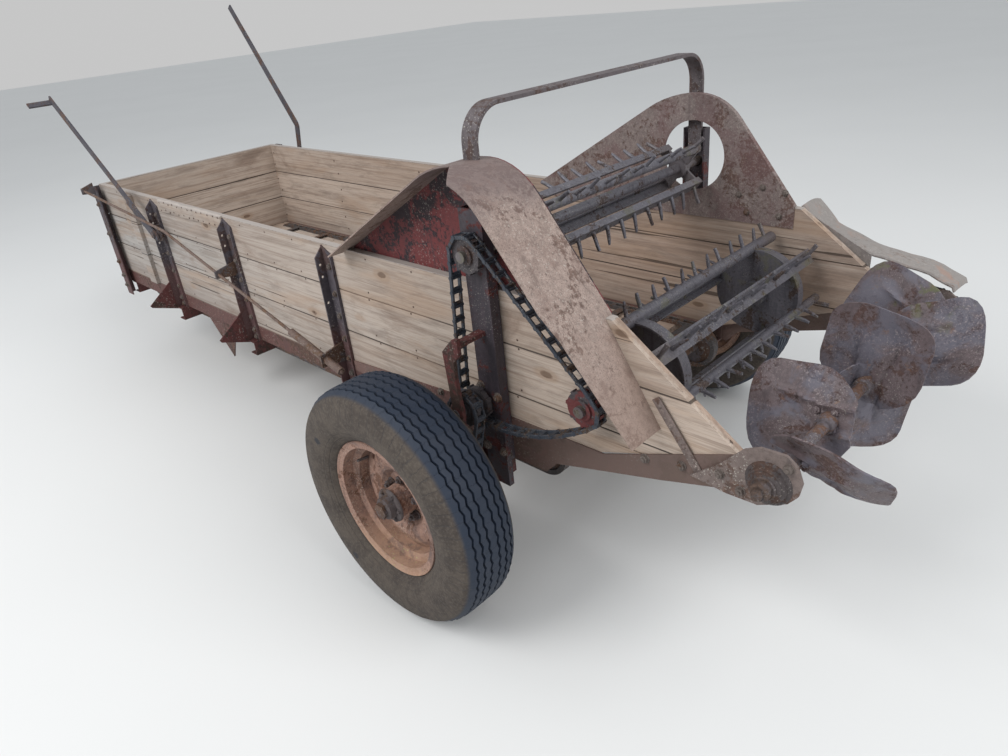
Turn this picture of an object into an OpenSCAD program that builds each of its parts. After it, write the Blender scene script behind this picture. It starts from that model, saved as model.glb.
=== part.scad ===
/* [Load box] */
// Clear width inside the box
box_w = 950; // [900:5:1000]
// Height of the side boards
board_h = 455; // [400:5:500]
// Thickness of the side and front boards
board_t = 25; // [20:1:32]
// Thickness of the floor boards
floor_t = 22; // [18:1:28]
// From the axle forward to the front face of the box
front_x = 2700; // [2500:10:2900]
// Width of the groove between two boards
seam_w = 4; // [2:0.5:6]
// Boards in the height of a side
board_rows = 3; // [2:1:4]

/* [Frame] */
// Height of the side sills
sill_h = 65; // [55:1:80]
// Width of the sill flanges
sill_w = 38; // [30:1:45]
// Thickness of the sill section
sill_t = 5; // [4:0.5:8]
// Height of the floor above the axle centre
floor_z = 90; // [84:1:105]
// Height of the cross members
cross_h = 60; // [50:1:62]
// Width of the cross members
cross_w = 50; // [40:1:60]
// Distance between the stakes
stake_pitch = 693; // [680:1:700]
// Width of a stake
stake_w = 56; // [45:1:70]
// Depth of a stake
stake_d = 36; // [28:1:44]
// Metal thickness of the stakes
stake_t = 5; // [4:0.5:7]
// Inset of the drawbar beams from the box side
tongue_in = 100; // [80:5:140]
// Length of the drawbar in front of the box
tongue_l = 1330; // [1200:10:1500]
// Height of the drawbar beams
beam_h = 60; // [50:1:64]
// Width of the drawbar beams
beam_w = 42; // [36:1:50]

/* [Axle and wheels] */
// Radius of the tyre
tyre_r = 362; // [340:1:380]
// Width of the tyre
tyre_w = 200; // [170:1:215]
// Radius where the tyre sits on the rim
bead_r = 192; // [185:1:200]
// Gap between the box side and the tyre
wheel_gap = 210; // [200:5:240]
// Radius of the axle beam
axle_r = 26; // [24:1:28]
// Radius of the wheel spindle
spindle_r = 22; // [18:1:25]
// Running clearance of every journal
fit_c = 0.08; // [0.04:0.01:0.1]

/* [Beaters] */
// Upper beater axis behind the axle
upper_x = 110; // [100:1:120]
// Upper beater axis above the axle
upper_z = 652; // [640:1:670]
// Radius of the upper beater bars
upper_r = 86; // [76:1:96]
// Main beater axis behind the axle
main_x = 465; // [455:1:480]
// Main beater axis above the axle
main_z = 325; // [315:1:335]
// Radius of the main beater bars
main_r = 136; // [126:1:140]
// Radius of the beater shafts
shaft_r = 15; // [13:0.5:18]
// Length of a tooth above its bar
tooth_l = 52; // [40:1:56]
// Radius of a tooth
tooth_r = 4.5; // [3.5:0.5:6]
// Teeth on one bar
teeth_n = 7; // [5:1:9]
// Bars on the main beater
main_bars = 6; // [5:1:7]
// Half length of the beater bars
bar_hl = 438; // [420:1:445]

/* [Distributor] */
// Distributor axis behind the axle
dist_x = 910; // [900:1:930]
// Distributor axis above the axle
dist_z = 272; // [265:1:280]
// Reach of the paddles from the shaft centre
paddle_r = 205; // [190:1:212]
// Width of a paddle across its reach
paddle_w = 250; // [230:5:260]
// Sheet thickness of the paddles
paddle_t = 4; // [3:0.5:6]

/* [Arch and guards] */
// Height of the arch above the axle
arch_z = 877; // [860:1:890]
// Sheet thickness of the arch plates
arch_t = 4; // [3:0.5:5]
// Radius of the opening in the right arch plate
arch_hole_r = 112; // [100:1:116]
// Widest part of the chain guard
guard_w = 200; // [180:1:210]
// Height of the arch bar above the axle
bow_z = 1000; // [980:1:1020]
// Width of the arch bar
bow_w = 48; // [40:1:60]
// Thickness of the arch bar
bow_t = 10; // [8:1:12]

/* [Chain and sprockets] */
// Distance from the box side to the chain centre
chain_off = 60; // [56:1:66]
// Width of a chain link
link_w = 34; // [28:1:36]
// Thickness of a chain link
link_t = 7; // [6:0.5:8]
// Pitch of the chain links
link_p = 41; // [36:1:46]
// Pitch radius of the small sprockets
spr_r = 52.2; // [46:0.1:58]
// Slack of the lower chain run
chain_sag = 34; // [10:1:40]
// Pitch radius of the axle sprocket
axle_spr_r = 75; // [66:1:84]

/* [Levers and stand] */
// Length of the left lever
lever_l = 980; // [850:10:1050]
// Lean of the left lever above level
lever_a = 35; // [32:1:38]
// Length of the right lever above its bend
lever_rl = 770; // [700:10:850]
// Lean of the right lever above level
lever_ra = 54; // [50:1:58]
// Width of the lever bars
lever_w = 30; // [24:1:36]
// Thickness of the lever bars
lever_t = 8; // [6:0.5:10]
// Radius of the lever pins
pin_r = 8; // [6:0.5:10]
// Radius of the control rod
rod_r = 6; // [5:0.5:8]
// Width of the parking leg
leg_w = 50; // [40:1:60]
// Radius of the hitch pin hole
hitch_r = 14; // [12:0.5:18]

/* [Hidden] */
$fn = 48;
in_y = box_w / 2;
out_y = in_y + board_t;
side_top = floor_z + board_h;
sill_z = floor_z - sill_h;
cross_z = sill_z - cross_h;
stake_y = out_y + stake_d;
hitch_x = front_x + tongue_l;
nose_x = hitch_x + 45;
mid_x = (nose_x - dist_x - paddle_r - 4) / 2;
tongue_y = out_y - tongue_in;
track_y = out_y + wheel_gap + tyre_w / 2;
chain_y = out_y + chain_off;
drive_y = chain_y + link_w + 9;
post_x = -upper_x;
post_w = 80;
post_d = 38;
post_y = out_y + post_d;
count_x = post_x + 30;
count_z = floor_z + 125;
kick_x = -250;
slant_x = -505;
corner_x = -840;
corner_z = dist_z + 28;
arm_h = 64;
stakes = [for (i = [0:3]) front_x - stake_w / 2 - i * stake_pitch + (i == 0 ? 0 : 56)];
cross_x = [for (s = stakes) s];
apron_r = (floor_z + 8 - (cross_z - 14)) / 2;
apron_z = floor_z + 8 - apron_r;
apron_x0 = kick_x + 55;
apron_x1 = stakes[0] - cross_w / 2 - apron_r - 12;
slat_pitch = 290;
plate_y = in_y - arch_t;
beam_a = atan2(tongue_y - 32, tongue_l - 90);
leg_x = hitch_x - 480;
leg_z = cross_z + beam_h / 2;
paddles = [[0.82, 198, -50], [0.442, -6, -70], [-0.03, 98, 87], [-0.03, 278, 41],
           [-0.505, 160, 41], [-0.8, 24, -82]];
lever_x = stakes[1] - 50;
lever_z = side_top - 145;
lever_y = stake_y + 16;
rlever_x = front_x - 180;
rlever_z = side_top - 125;

// Coordinates are written from the axle centre and set down on the ground here.
module at_axle() {
  translate([-mid_x, 0, tyre_r]) children();
}

// A cylinder along Y from y0 to y1.
module rod_y(x, z, y0, y1, r) {
  translate([x, y0, z]) rotate([-90, 0, 0]) cylinder(h = y1 - y0, r = r);
}

// A shape drawn in X and Z, extruded from y0 to y1.
module sheet_y(y0, y1) {
  translate([0, y1, 0]) rotate([90, 0, 0]) linear_extrude(y1 - y0) children();
}

module side_outline() {
  polygon([[front_x, floor_z], [front_x, side_top], [slant_x, side_top], [corner_x, corner_z],
           [kick_x, floor_z]]);
}

// The arch: a straight front flank, two arcs that meet at the top, and a steeper rear flank.
arch_x = post_x - 25;
arch_ra = 358;
arch_rb = 194;
arch_ca = [arch_x, arch_z - arch_ra];
arch_cb = [arch_x, arch_z - arch_rb];
arch_tip = [550, side_top - 8];
arch_end = [slant_x + 18, side_top + 5];
arch_low = [arch_end[0] - 153, arch_end[1] - 249];
function tangent_a(p, c, r, side) = let(d = p - c) atan2(d[1], d[0]) + side * acos(r / norm(d));
function turn(a) = a < 0 ? a + 360 : a;
arch_a0 = tangent_a(arch_tip, arch_ca, arch_ra, 1);
arch_a1 = tangent_a(arch_end, arch_cb, arch_rb, -1);
function arc(c, r, a0, a1, i0, n) =
  [for (i = [i0:n]) let(a = a0 + (a1 - a0) * i / n) c + r * [cos(a), sin(a)]];
arch_top = concat(arc(arch_ca, arch_ra, arch_a0, 90, 0, 6), arc(arch_cb, arch_rb, 90, turn(arch_a1), 1, 7));

module arch_outline(low) {
  polygon(concat([arch_tip], arch_top, [arch_end, [arch_end[0], low], [arch_tip[0] - 60, low]]));
}

// A band of sheet of thickness t laid inside a row of points.
module band(p, t) {
  n = len(p) - 1;
  nrm = [for (i = [0:n]) let(d = p[min(i + 1, n)] - p[max(i - 1, 0)]) [d[1], -d[0]] / norm(d)];
  polygon(concat(p, [for (i = [n:-1:0]) p[i] - t * nrm[i]]));
}

module board_side(s) {
  color("tan") at_axle() mirror([0, s, 0]) difference() {
    sheet_y(in_y, out_y) side_outline();
    rod_y(-main_x, main_z, in_y - 1, out_y + 1, shaft_r + 5.5);
    for (i = [1:board_rows - 1]) {
      for (y = [in_y, out_y]) {
        translate([0, y, floor_z + board_h * i / board_rows]) rotate([45, 0, 0])
          cube([3 * front_x, seam_w, seam_w], center = true);
      }
    }
  }
}

module side_boards_left() {
  board_side(0);
  color("tan") at_axle() translate([front_x - 420, out_y, sill_z + sill_h - 5 + 6])
    cube([75, 18, board_h - 12]);
}
module side_boards_right() board_side(1);

module front_boards() {
  color("burlywood") at_axle() difference() {
    translate([front_x - board_t, -in_y, floor_z]) cube([board_t, box_w, board_h]);
    for (i = [1:board_rows - 1]) {
      for (x = [front_x - board_t, front_x]) {
        translate([x, 0, floor_z + board_h * i / board_rows]) rotate([0, 45, 0])
          cube([seam_w, 3 * box_w, seam_w], center = true);
      }
    }
  }
}

floor_x0 = apron_x0 + apron_r + 4;
floor_x1 = apron_x1 - apron_r - 4;
module floor_boards() {
  color("peru") at_axle() difference() {
    translate([floor_x0, -out_y + sill_w + 1, floor_z - floor_t])
      cube([floor_x1 - floor_x0, 2 * (out_y - sill_w - 1), floor_t]);
    for (i = [-3:3]) {
      translate([0, i * box_w / 8, floor_z]) rotate([45, 0, 0])
        cube([3 * front_x, seam_w, seam_w], center = true);
    }
  }
}

module sill(s) {
  color("firebrick") at_axle() mirror([0, s, 0]) difference() {
    union() {
      translate([kick_x, out_y - sill_w, sill_z]) cube([front_x - kick_x, sill_w, sill_h]);
      sheet_y(out_y, out_y + sill_t)
        polygon([[stakes[3] - stake_w / 2 - 1, sill_z], [stakes[3] - stake_w / 2 - 1, floor_z + 34],
                 [120, floor_z + 68], [slant_x + 30, floor_z + 76], [corner_x + 15, corner_z + 4],
                 [-dist_x + 95, dist_z + 20], [-dist_x + 95, dist_z - 62], [slant_x - 135, floor_z + 68],
                 [kick_x - 62, floor_z - 21], [kick_x - 20, sill_z]]);
      sheet_y(out_y - 30, out_y - 25)
        polygon([[stakes[2] + 552, sill_z], [stakes[2] + 368, -174], [stakes[2] + 312, -80],
                 [stakes[2] + 312, sill_z]]);
    }
    translate([kick_x - 1, out_y - sill_w - 1, sill_z + sill_t])
      cube([front_x - kick_x + 2, sill_w + 1 - sill_t, sill_h - 2 * sill_t]);
    rod_y(0, 0, out_y - sill_w - 1, stake_y, axle_r + 0.3);
  }
}

module sill_left() sill(0);
module sill_right() sill(1);

module cross_members() {
  color("dimgray") at_axle() for (i = [0:3]) {
    y1 = i == 0 ? out_y - 0.3 : stake_y;
    translate([cross_x[i] - cross_w / 2, -y1, cross_z]) difference() {
      cube([cross_w, 2 * y1, cross_h]);
      translate([5, -1, 5]) cube([cross_w, 2 * y1 + 2, cross_h - 10]);
    }
    if (i == 1 || i == 2) {
      for (s = [0, 1]) {
        mirror([0, s, 0]) translate([cross_x[i] + cross_w / 2 - 5, 0, 0]) foot_gusset();
      }
    }
  }
}

module floor_bearers() {
  color("dimgray") at_axle() difference() {
    for (s = [-1, 1]) {
      translate([floor_x0, s * 150 - 20, sill_z]) cube([floor_x1 - floor_x0, 40, floor_z - floor_t - sill_z]);
    }
    rod_y(0, 0, -200, 200, axle_r + 0.3);
  }
}

// The flared plate at the end of a cross member, beside the foot of a stake.
module foot_gusset() {
  translate([-1, 0, 0]) sheet_yz(6)
    polygon([[stake_y + 0.3, floor_z + 62], [stake_y + 118, sill_z + 44], [stake_y + 112, sill_z + 34],
             [stake_y - 4, sill_z - 10], [stake_y - 4, sill_z], [stake_y + 0.3, sill_z]]);
}

// A shape drawn in Y and Z, extruded along X.
module sheet_yz(t) {
  rotate([90, 0, 90]) linear_extrude(t) children();
}

// A bent stake: web on the boards, a wide flange in front with bolt holes, and a narrow lip behind.
module stake(x) {
  w = stake_w / 2;
  translate([x, 0, 0]) {
    sheet_y(out_y, out_y + stake_t)
      polygon([[-w, sill_z], [w, sill_z], [w, side_top - 6], [-w, side_top - 34]]);
    translate([-w, out_y, sill_z]) cube([stake_t, stake_t + 6, board_h + sill_h - 40]);
    difference() {
      translate([w - stake_t, 0, 0]) sheet_yz(stake_t)
        polygon([[out_y, sill_z], [stake_y, sill_z], [stake_y, side_top - 42], [out_y, side_top - 6]]);
      for (z = [70, 112, 206]) {
        translate([w - stake_t - 1, out_y + 0.6 * stake_d, side_top - z]) rotate([0, 90, 0])
          cylinder(h = stake_t + 2, r = 5, $fn = 16);
      }
    }
  }
}

module corner_stake() {
  translate([front_x, 0, 0]) difference() {
    translate([-stake_w, out_y, cross_z]) cube([stake_w + stake_t, stake_d, side_top - 6 - cross_z]);
    translate([-stake_w - 1, out_y - 1, cross_z - 1])
      cube([stake_w + 1, stake_d + 1 - stake_t, side_top + cross_h]);
  }
}

module stakes_side(s) {
  color("saddlebrown") at_axle() mirror([0, s, 0]) {
    corner_stake();
    for (i = [1:3]) {
      stake(stakes[i]);
    }
  }
}

module stakes_left() stakes_side(0);
module stakes_right() stakes_side(1);

module drawbar() {
  color("firebrick") at_axle() {
    for (s = [-1, 1]) {
      translate([front_x + 12, s * tongue_y, cross_z]) rotate([0, 0, -s * beam_a])
        translate([0, -beam_w / 2, 0]) difference() {
          cube([(tongue_l - 102) / cos(beam_a), beam_w, beam_h]);
          translate([-1, s > 0 ? -1 : 5, 5]) cube([2 * tongue_l, beam_w - 4, beam_h - 10]);
        }
    }
    translate([stakes[0] + cross_w / 2, -tongue_y - 70, cross_z])
      cube([front_x + 16 - stakes[0] - cross_w / 2, 2 * tongue_y + 140, beam_h]);
    for (x = [front_x + 420, leg_x + leg_w / 2 + 35]) {
      hw = tongue_y - (x - front_x) * tan(beam_a) - beam_w / 2 + 6;
      translate([x - 15, -hw, cross_z]) cube([30, 2 * hw, beam_h]);
    }
    translate([hitch_x - 150, -52, cross_z]) cube([62, 104, beam_h]);
    for (s = [-1, 1]) {
      translate([leg_x - 30, s * (leg_w / 2 + 9) - 5, cross_z - 30]) difference() {
        cube([60 + leg_w / 2, 10, beam_h + 60]);
        translate([30, -1, leg_z - cross_z + 30]) rotate([-90, 0, 0]) cylinder(h = 12, r = pin_r + fit_c);
      }
    }
  }
}

module hitch_clevis() {
  color("dimgray") at_axle() difference() {
    for (z = [cross_z + beam_h / 2 - 26, cross_z + beam_h / 2 + 14]) {
      translate([hitch_x, 0, z]) {
        translate([-88, -36, 0]) cube([88, 72, 12]);
        cylinder(h = 12, r = 45);
      }
    }
    translate([hitch_x, 0, cross_z - 10]) cylinder(h = beam_h + 20, r = hitch_r);
  }
}

module axle() {
  color("dimgray") at_axle() {
    rod_y(0, 0, -post_y - 20, post_y + 20, axle_r);
    for (s = [0, 1]) {
      mirror([0, s, 0]) {
        rod_y(0, 0, post_y + 20, track_y + 66, spindle_r);
        translate([0, track_y + 66, 0]) rotate([-90, 0, 0]) cylinder(h = 18, r = 24, $fn = 6);
        rod_y(0, 0, track_y + 60, track_y + 66, 30);
      }
    }
  }
}

module axle_bracket(s) {
  color("firebrick") at_axle() mirror([0, s, 0]) difference() {
    union() {
      sheet_y(out_y + sill_t, out_y + sill_t + 14)
        polygon([[post_x - post_w / 2, sill_z], [axle_r + 40, sill_z], [axle_r + 16, 0],
                 [-axle_r, -axle_r], [post_x - post_w / 2, -20]]);
      rod_y(0, 0, out_y + sill_t, out_y + sill_t + 26, axle_r + 17);
    }
    rod_y(0, 0, out_y, post_y, axle_r + fit_c);
  }
}

module axle_bracket_left() axle_bracket(0);
module axle_bracket_right() axle_bracket(1);

tyre_h = tyre_w / 2;
module tyre_profile() {
  difference() {
    polygon([[bead_r + 0.3, tyre_h - 36], [bead_r + 20, tyre_h - 36], [bead_r + 24, tyre_h - 26],
             [bead_r + 60, tyre_h - 4],
             [tyre_r - 74, tyre_h], [tyre_r - 44, tyre_h - 6], [tyre_r - 16, tyre_h - 17],
             [tyre_r - 5, tyre_h - 32], [tyre_r, tyre_h - 58], [tyre_r, -tyre_h + 58],
             [tyre_r - 5, -tyre_h + 32], [tyre_r - 16, -tyre_h + 17], [tyre_r - 44, -tyre_h + 6],
             [tyre_r - 74, -tyre_h], [bead_r + 60, -tyre_h + 4], [bead_r + 24, -tyre_h + 26],
             [bead_r + 20, -tyre_h + 36], [bead_r + 0.3, -tyre_h + 36]]);
    polygon([[bead_r - 10, tyre_h - 56], [bead_r + 30, tyre_h - 42], [bead_r + 70, tyre_h - 18],
             [tyre_r - 60, tyre_h - 16], [tyre_r - 22, tyre_h - 40], [tyre_r - 16, 0],
             [tyre_r - 22, -tyre_h + 40], [tyre_r - 60, -tyre_h + 16], [bead_r + 70, -tyre_h + 18],
             [bead_r + 30, -tyre_h + 42], [bead_r - 10, -tyre_h + 56]]);
  }
}

module tyre(s) {
  color("darkslategray") at_axle() mirror([0, s, 0]) translate([0, track_y, 0]) rotate([-90, 0, 0])
    rotate_extrude($fn = 72) tyre_profile();
}

module tyre_left() tyre(0);
module tyre_right() tyre(1);

rim_hw = tyre_h - 36;
module rim_profile() {
  polygon([[bead_r + 16, rim_hw + 9], [bead_r + 18, rim_hw + 5], [bead_r + 12, rim_hw + 0.3],
           [bead_r, rim_hw + 0.3], [bead_r, 30], [bead_r - 20, 22], [bead_r - 20, -22], [bead_r, -30],
           [bead_r, -rim_hw - 0.3], [bead_r + 12, -rim_hw - 0.3], [bead_r + 18, -rim_hw - 5],
           [bead_r + 16, -rim_hw - 9], [bead_r + 8, -rim_hw - 5], [bead_r - 5, -rim_hw - 4],
           [bead_r - 5, -33], [bead_r - 25, -25], [bead_r - 25, 25], [bead_r - 5, 33],
           [bead_r - 5, rim_hw + 4], [bead_r + 8, rim_hw + 5]]);
}

module rim(s) {
  color("chocolate") at_axle() mirror([0, s, 0]) translate([0, track_y, 0]) rotate([-90, 0, 0]) {
    rotate_extrude($fn = 72) rim_profile();
    difference() {
      rotate_extrude($fn = 72) polygon([[spindle_r + fit_c, -60], [48, -60], [48, -20], [80, -20],
        [95, -2], [118, 8], [138, 2], [bead_r - 23, -14], [bead_r - 23, -8], [140, 8], [118, 14],
        [90, 4], [75, -12], [48, -12], [44, 44], [spindle_r + fit_c, 44]]);
      for (a = [0:90:270]) {
        rotate([0, 0, a + 45]) translate([146, 0, -30]) linear_extrude(60)
          for (t = [-14:7:14]) rotate([0, 0, t / 2]) circle(r = 10);
      }
    }
  }
}

module rim_left() rim(0);
module rim_right() rim(1);

module post(s) {
  color("firebrick") at_axle() mirror([0, s, 0]) difference() {
    translate([post_x - post_w / 2, out_y + sill_t, -60]) cube([post_w, post_d - sill_t, upper_z + 170]);
    translate([post_x - post_w / 2 + 6, out_y, -70])
      cube([post_w - 12, post_d - 6, upper_z + 200]);
    rod_y(post_x, upper_z, out_y, post_y + 1, shaft_r + 5.5);
    translate([-200, out_y, -75]) cube([300, 14.3 + sill_t, 75.3 + sill_z]);
  }
}

module post_left() post(0);
module post_right() post(1);

module arch_plate_left() {
  color("darkred") at_axle() difference() {
    sheet_y(plate_y, in_y) arch_outline(side_top - 65);
    rod_y(post_x, upper_z, plate_y - 1, in_y + 1, shaft_r + 8);
  }
}

module arch_plate_right() {
  color("rosybrown") at_axle() mirror([0, 1, 0]) {
    difference() {
      sheet_y(plate_y, in_y) arch_outline(side_top - 65);
      rod_y(arch_x + 5, arch_z - 195, plate_y - 1, in_y + 1, arch_hole_r);
    }
    difference() {
      sheet_y(in_y, in_y + 14) band(concat([arch_tip], arch_top, [arch_end]), arch_t);
      translate([-700, in_y - 1, 0]) cube([1500, 30, side_top + 1]);
    }
  }
}

// The strap over the chain: bent to the arch in side view, widest over the chain in plan.
module chain_guard_left() {
  color("tan") at_axle() difference() {
    intersection() {
      sheet_y(in_y, in_y + guard_w) band(concat([arch_tip], arch_top, [arch_end, arch_low]), arch_t);
      linear_extrude(2 * arch_z)
        polygon([[620, in_y - 1], [620, in_y + 85], [arch_x + 30, in_y + 100], [arch_x - 65, in_y + guard_w],
                 [slant_x + 65, in_y + guard_w - 5], [arch_low[0] - 57, in_y + guard_w - 80],
                 [arch_low[0] - 57, in_y - 1]]);
    }
    translate([2 * corner_x, in_y - 1, 0]) cube([4 * front_x, board_t + 1.3, side_top + 0.3]);
    translate([post_x - 2 - bow_w / 2 - 0.5, out_y + sill_t - 0.5, side_top + 100])
      cube([bow_w + 1, bow_t + 1, 2 * arch_z]);
  }
}

// The right side's rear guard: a bent top over a flat web that stands on the sill arm.
module distributor_guard() {
  y0 = out_y + sill_t;
  color("wheat") at_axle() mirror([0, 1, 0]) {
    sheet_y(y0, y0 + 66)
      band([[slant_x + 8, side_top + 4], [slant_x - 58, dist_z + 206], [slant_x - 135, dist_z + 180],
            [slant_x - 223, dist_z + 152], [-dist_x + 25, dist_z + 121], [-dist_x - 40, dist_z + 93],
            [-dist_x - 46, dist_z + 84]], 4);
    sheet_y(y0, y0 + 4)
      polygon([[slant_x - 8, side_top - 14], [slant_x - 58, dist_z + 204], [slant_x - 135, dist_z + 178],
               [slant_x - 216, dist_z + 152], [slant_x - 216, dist_z + 30], [slant_x - 60, floor_z + 84],
               [slant_x - 8, floor_z + 84]]);
  }
}

// Bent flat bar whose legs stand outside the plates and are welded to pads inside the posts.
module arch_bar() {
  rr = 90;
  bow_y = out_y + sill_t + bow_t;
  color("dimgray") at_axle() translate([post_x - 2, 0, 0]) {
    translate([-bow_w / 2, -bow_y + rr, bow_z - bow_t]) cube([bow_w, 2 * (bow_y - rr), bow_t]);
    for (s = [0, 1]) {
      mirror([0, s, 0]) {
        translate([-bow_w / 2, bow_y - bow_t, upper_z + 44])
          cube([bow_w, bow_t, bow_z - rr - upper_z - 44]);
        translate([-bow_w / 2, bow_y - 1, upper_z + 48]) cube([bow_w, post_y - 6 - bow_y + 1, 22]);
        translate([bow_w / 2, bow_y - rr, bow_z - rr]) rotate([0, -90, 0])
          linear_extrude(bow_w) intersection() {
            difference() {
              circle(r = rr);
              circle(r = rr - bow_t);
            }
            square(rr);
          }
      }
    }
  }
}

// A row of teeth along a bar at radius r, tipped by lean from straight out.
module tooth_row(r, lean) {
  for (i = [0:teeth_n - 1]) {
    y = -bar_hl + 35 + i * (2 * bar_hl - 70) / (teeth_n - 1);
    translate([r, y, 0]) rotate([0, 90 - lean - (i % 2) * 8, 0])
      cylinder(h = tooth_l + 6, r = tooth_r, $fn = 12);
  }
}

upper_lean = [-22, 4, 26, 10];
module upper_beater() {
  color("slategray") at_axle() {
    rod_y(post_x, upper_z, -post_y - 26, chain_y + 26, shaft_r);
    translate([post_x, 0, upper_z]) {
      for (i = [0:3]) {
        rotate([0, -40 - 90 * i, 0]) {
          if (i == 1) {
            rod_y(upper_r - 4, 0, -bar_hl, bar_hl, 15);
          }
          if (i != 1) {
            translate([upper_r - 7, -bar_hl, -17]) cube([7, 2 * bar_hl, 34]);
            translate([upper_r - 7 - 14, -bar_hl, i == 2 ? -17 : 10]) cube([16, 2 * bar_hl, 7]);
          }
          tooth_row(upper_r - 4, upper_lean[i]);
          for (y = [-bar_hl + 14, bar_hl - 24]) {
            translate([0, y, -16]) cube([upper_r - 3, 10, 32]);
          }
        }
      }
      for (y = [-bar_hl + 8, bar_hl - 36]) {
        rod_y(0, 0, y, y + 28, 32);
      }
    }
  }
}

head_y = 300;
module main_beater() {
  color("slategray") at_axle() {
    rod_y(-main_x, main_z, -chain_y - 26, chain_y + 26, shaft_r);
    translate([-main_x, 0, main_z]) {
      for (s = [0, 1]) {
        mirror([0, s, 0]) {
          rod_y(0, 0, head_y - 3, head_y + 3, main_r - 3);
          difference() {
            rod_y(0, 0, head_y - 3, head_y + 32, main_r - 2);
            rod_y(0, 0, head_y - 4, head_y + 33, main_r - 7);
          }
          rod_y(0, 0, head_y - 30, head_y + 40, 38);
        }
      }
      for (i = [0:main_bars - 1]) {
        rotate([0, -77 - 360 / main_bars * i, 0]) {
          if (i % 2 == 0) {
            rod_y(main_r, 0, -bar_hl, bar_hl, i == 0 ? 17 : 13);
          }
          if (i % 2 == 1) {
            translate([main_r - 7, -bar_hl, -22]) cube([7, 2 * bar_hl, 44]);
            translate([main_r - 22, -bar_hl, -22]) cube([30, 2 * bar_hl, 7]);
          }
          tooth_row(main_r - 2, -16);
        }
      }
    }
  }
}

// One paddle: a dished sheet with a rounded tip and cut inner corners, reaching out along X.
paddle_cr = 420;
module paddle() {
  w = paddle_w / 2;
  intersection() {
    translate([-80, 0, -paddle_cr]) rotate([0, 90, 0]) difference() {
      cylinder(h = paddle_r + 90, r = paddle_cr + paddle_t / 2);
      translate([0, 0, -1]) cylinder(h = paddle_r + 92, r = paddle_cr - paddle_t / 2);
    }
    translate([0, 0, -paddle_cr]) linear_extrude(2 * paddle_cr) polygon([[-55, -w + 70], [15, -w],
      [paddle_r - 35, -w], [paddle_r - 12, -0.72 * w], [paddle_r, -0.3 * w], [paddle_r, 0.3 * w],
      [paddle_r - 12, 0.72 * w], [paddle_r - 35, w], [15, w], [-55, w - 70]]);
  }
}

module distributor() {
  color("rosybrown") at_axle() {
    rod_y(-dist_x, dist_z, -chain_y - 26, out_y + 40, shaft_r);
    translate([-dist_x, 0, dist_z]) {
      for (p = paddles) {
        translate([0, p[0] * in_y, 0]) {
          rod_y(0, 0, -34, 34, shaft_r + 7);
          rotate([0, -p[1], 0]) rotate([p[2], 0, 0]) paddle();
        }
      }
    }
  }
}

module bearing_plate(s) {
  color("rosybrown") at_axle() mirror([0, s, 0]) {
    difference() {
      union() {
        sheet_y(out_y + sill_t, out_y + sill_t + 8)
          polygon([[-dist_x + 184, dist_z - 58], [-dist_x + 120, dist_z - 5], [-dist_x + 60, dist_z + 60],
                   [-dist_x + 25, dist_z + 78], [-dist_x - 32, dist_z + 80], [-dist_x - 56, dist_z + 62],
                   [-dist_x - 70, dist_z + 25], [-dist_x - 64, dist_z - 8], [-dist_x - 44, dist_z - 34],
                   [-dist_x + 20, dist_z - 66], [-dist_x + 95, dist_z - 68]]);
        rod_y(-dist_x, dist_z, out_y - 18, out_y + sill_t + 26, 36);
      }
      rod_y(-dist_x, dist_z, out_y - 20, out_y + 60, shaft_r + fit_c);
    }
  }
}

module bearing_plate_left() bearing_plate(0);
module bearing_plate_right() bearing_plate(1);

module beater_bearings() {
  color("dimgray") at_axle() for (s = [0, 1]) {
    mirror([0, s, 0]) {
      difference() {
        rod_y(post_x, upper_z, post_y, post_y + 8, 34);
        rod_y(post_x, upper_z, post_y - 1, post_y + 9, shaft_r + fit_c);
      }
      difference() {
        rod_y(-main_x, main_z, out_y, out_y + 22, 42);
        rod_y(-main_x, main_z, out_y - 1, out_y + 23, shaft_r + fit_c);
      }
    }
  }
}

// Closed chain path round circles given as [x, z, r] rows, run with the circles on the left.
function seg_a(p, q) =
  atan2(q[1] - p[1], q[0] - p[0]) - acos((p[2] - q[2]) / norm([q[0] - p[0], q[1] - p[1]]));
function on_c(p, a) = [p[0] + p[2] * cos(a), p[1] + p[2] * sin(a)];
function pos360(a) = a - 360 * floor(a / 360);
function pieces(c) = let(n = len(c)) [for (i = [0:n - 1]) let(
    p = c[(i + n - 1) % n], q = c[i], r = c[(i + 1) % n], a0 = seg_a(p, q), a1 = seg_a(q, r))
  [on_c(p, a0), on_c(q, a0), q, a0, pos360(a1 - a0), q[2] * pos360(a1 - a0) * PI / 180,
   norm(on_c(q, a0) - on_c(p, a0))]];
function total(v, i = 0) = i >= len(v) ? 0 : v[i][5] + v[i][6] + total(v, i + 1);
function walk(v, s, sag, i = 0) =
  s <= v[i][6] ? let(t = s / v[i][6], d = v[i][1] - v[i][0])
    v[i][0] + t * d - [0, (i == 0 ? sag : 0) * 4 * t * (1 - t)]
  : s <= v[i][6] + v[i][5] || i == len(v) - 1 ?
    on_c(v[i][2], v[i][3] + v[i][4] * (s - v[i][6]) / v[i][5])
  : walk(v, s - v[i][6] - v[i][5], sag, i + 1);

// Arc length where the chain meets circle i, and the angle of the gap after its first hinge there.
function meet(v, i) = i < 0 ? 0 : v[i][6] + (i > 0 ? meet(v, i - 1) + v[i - 1][5] : 0);
function gap_a(v, i) = let(p = total(v) / floor(total(v) / link_p), m = meet(v, i), k = ceil(m / p))
  v[i][3] + (k * p - m + p / 2) / v[i][2][2] * 180 / PI;

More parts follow.
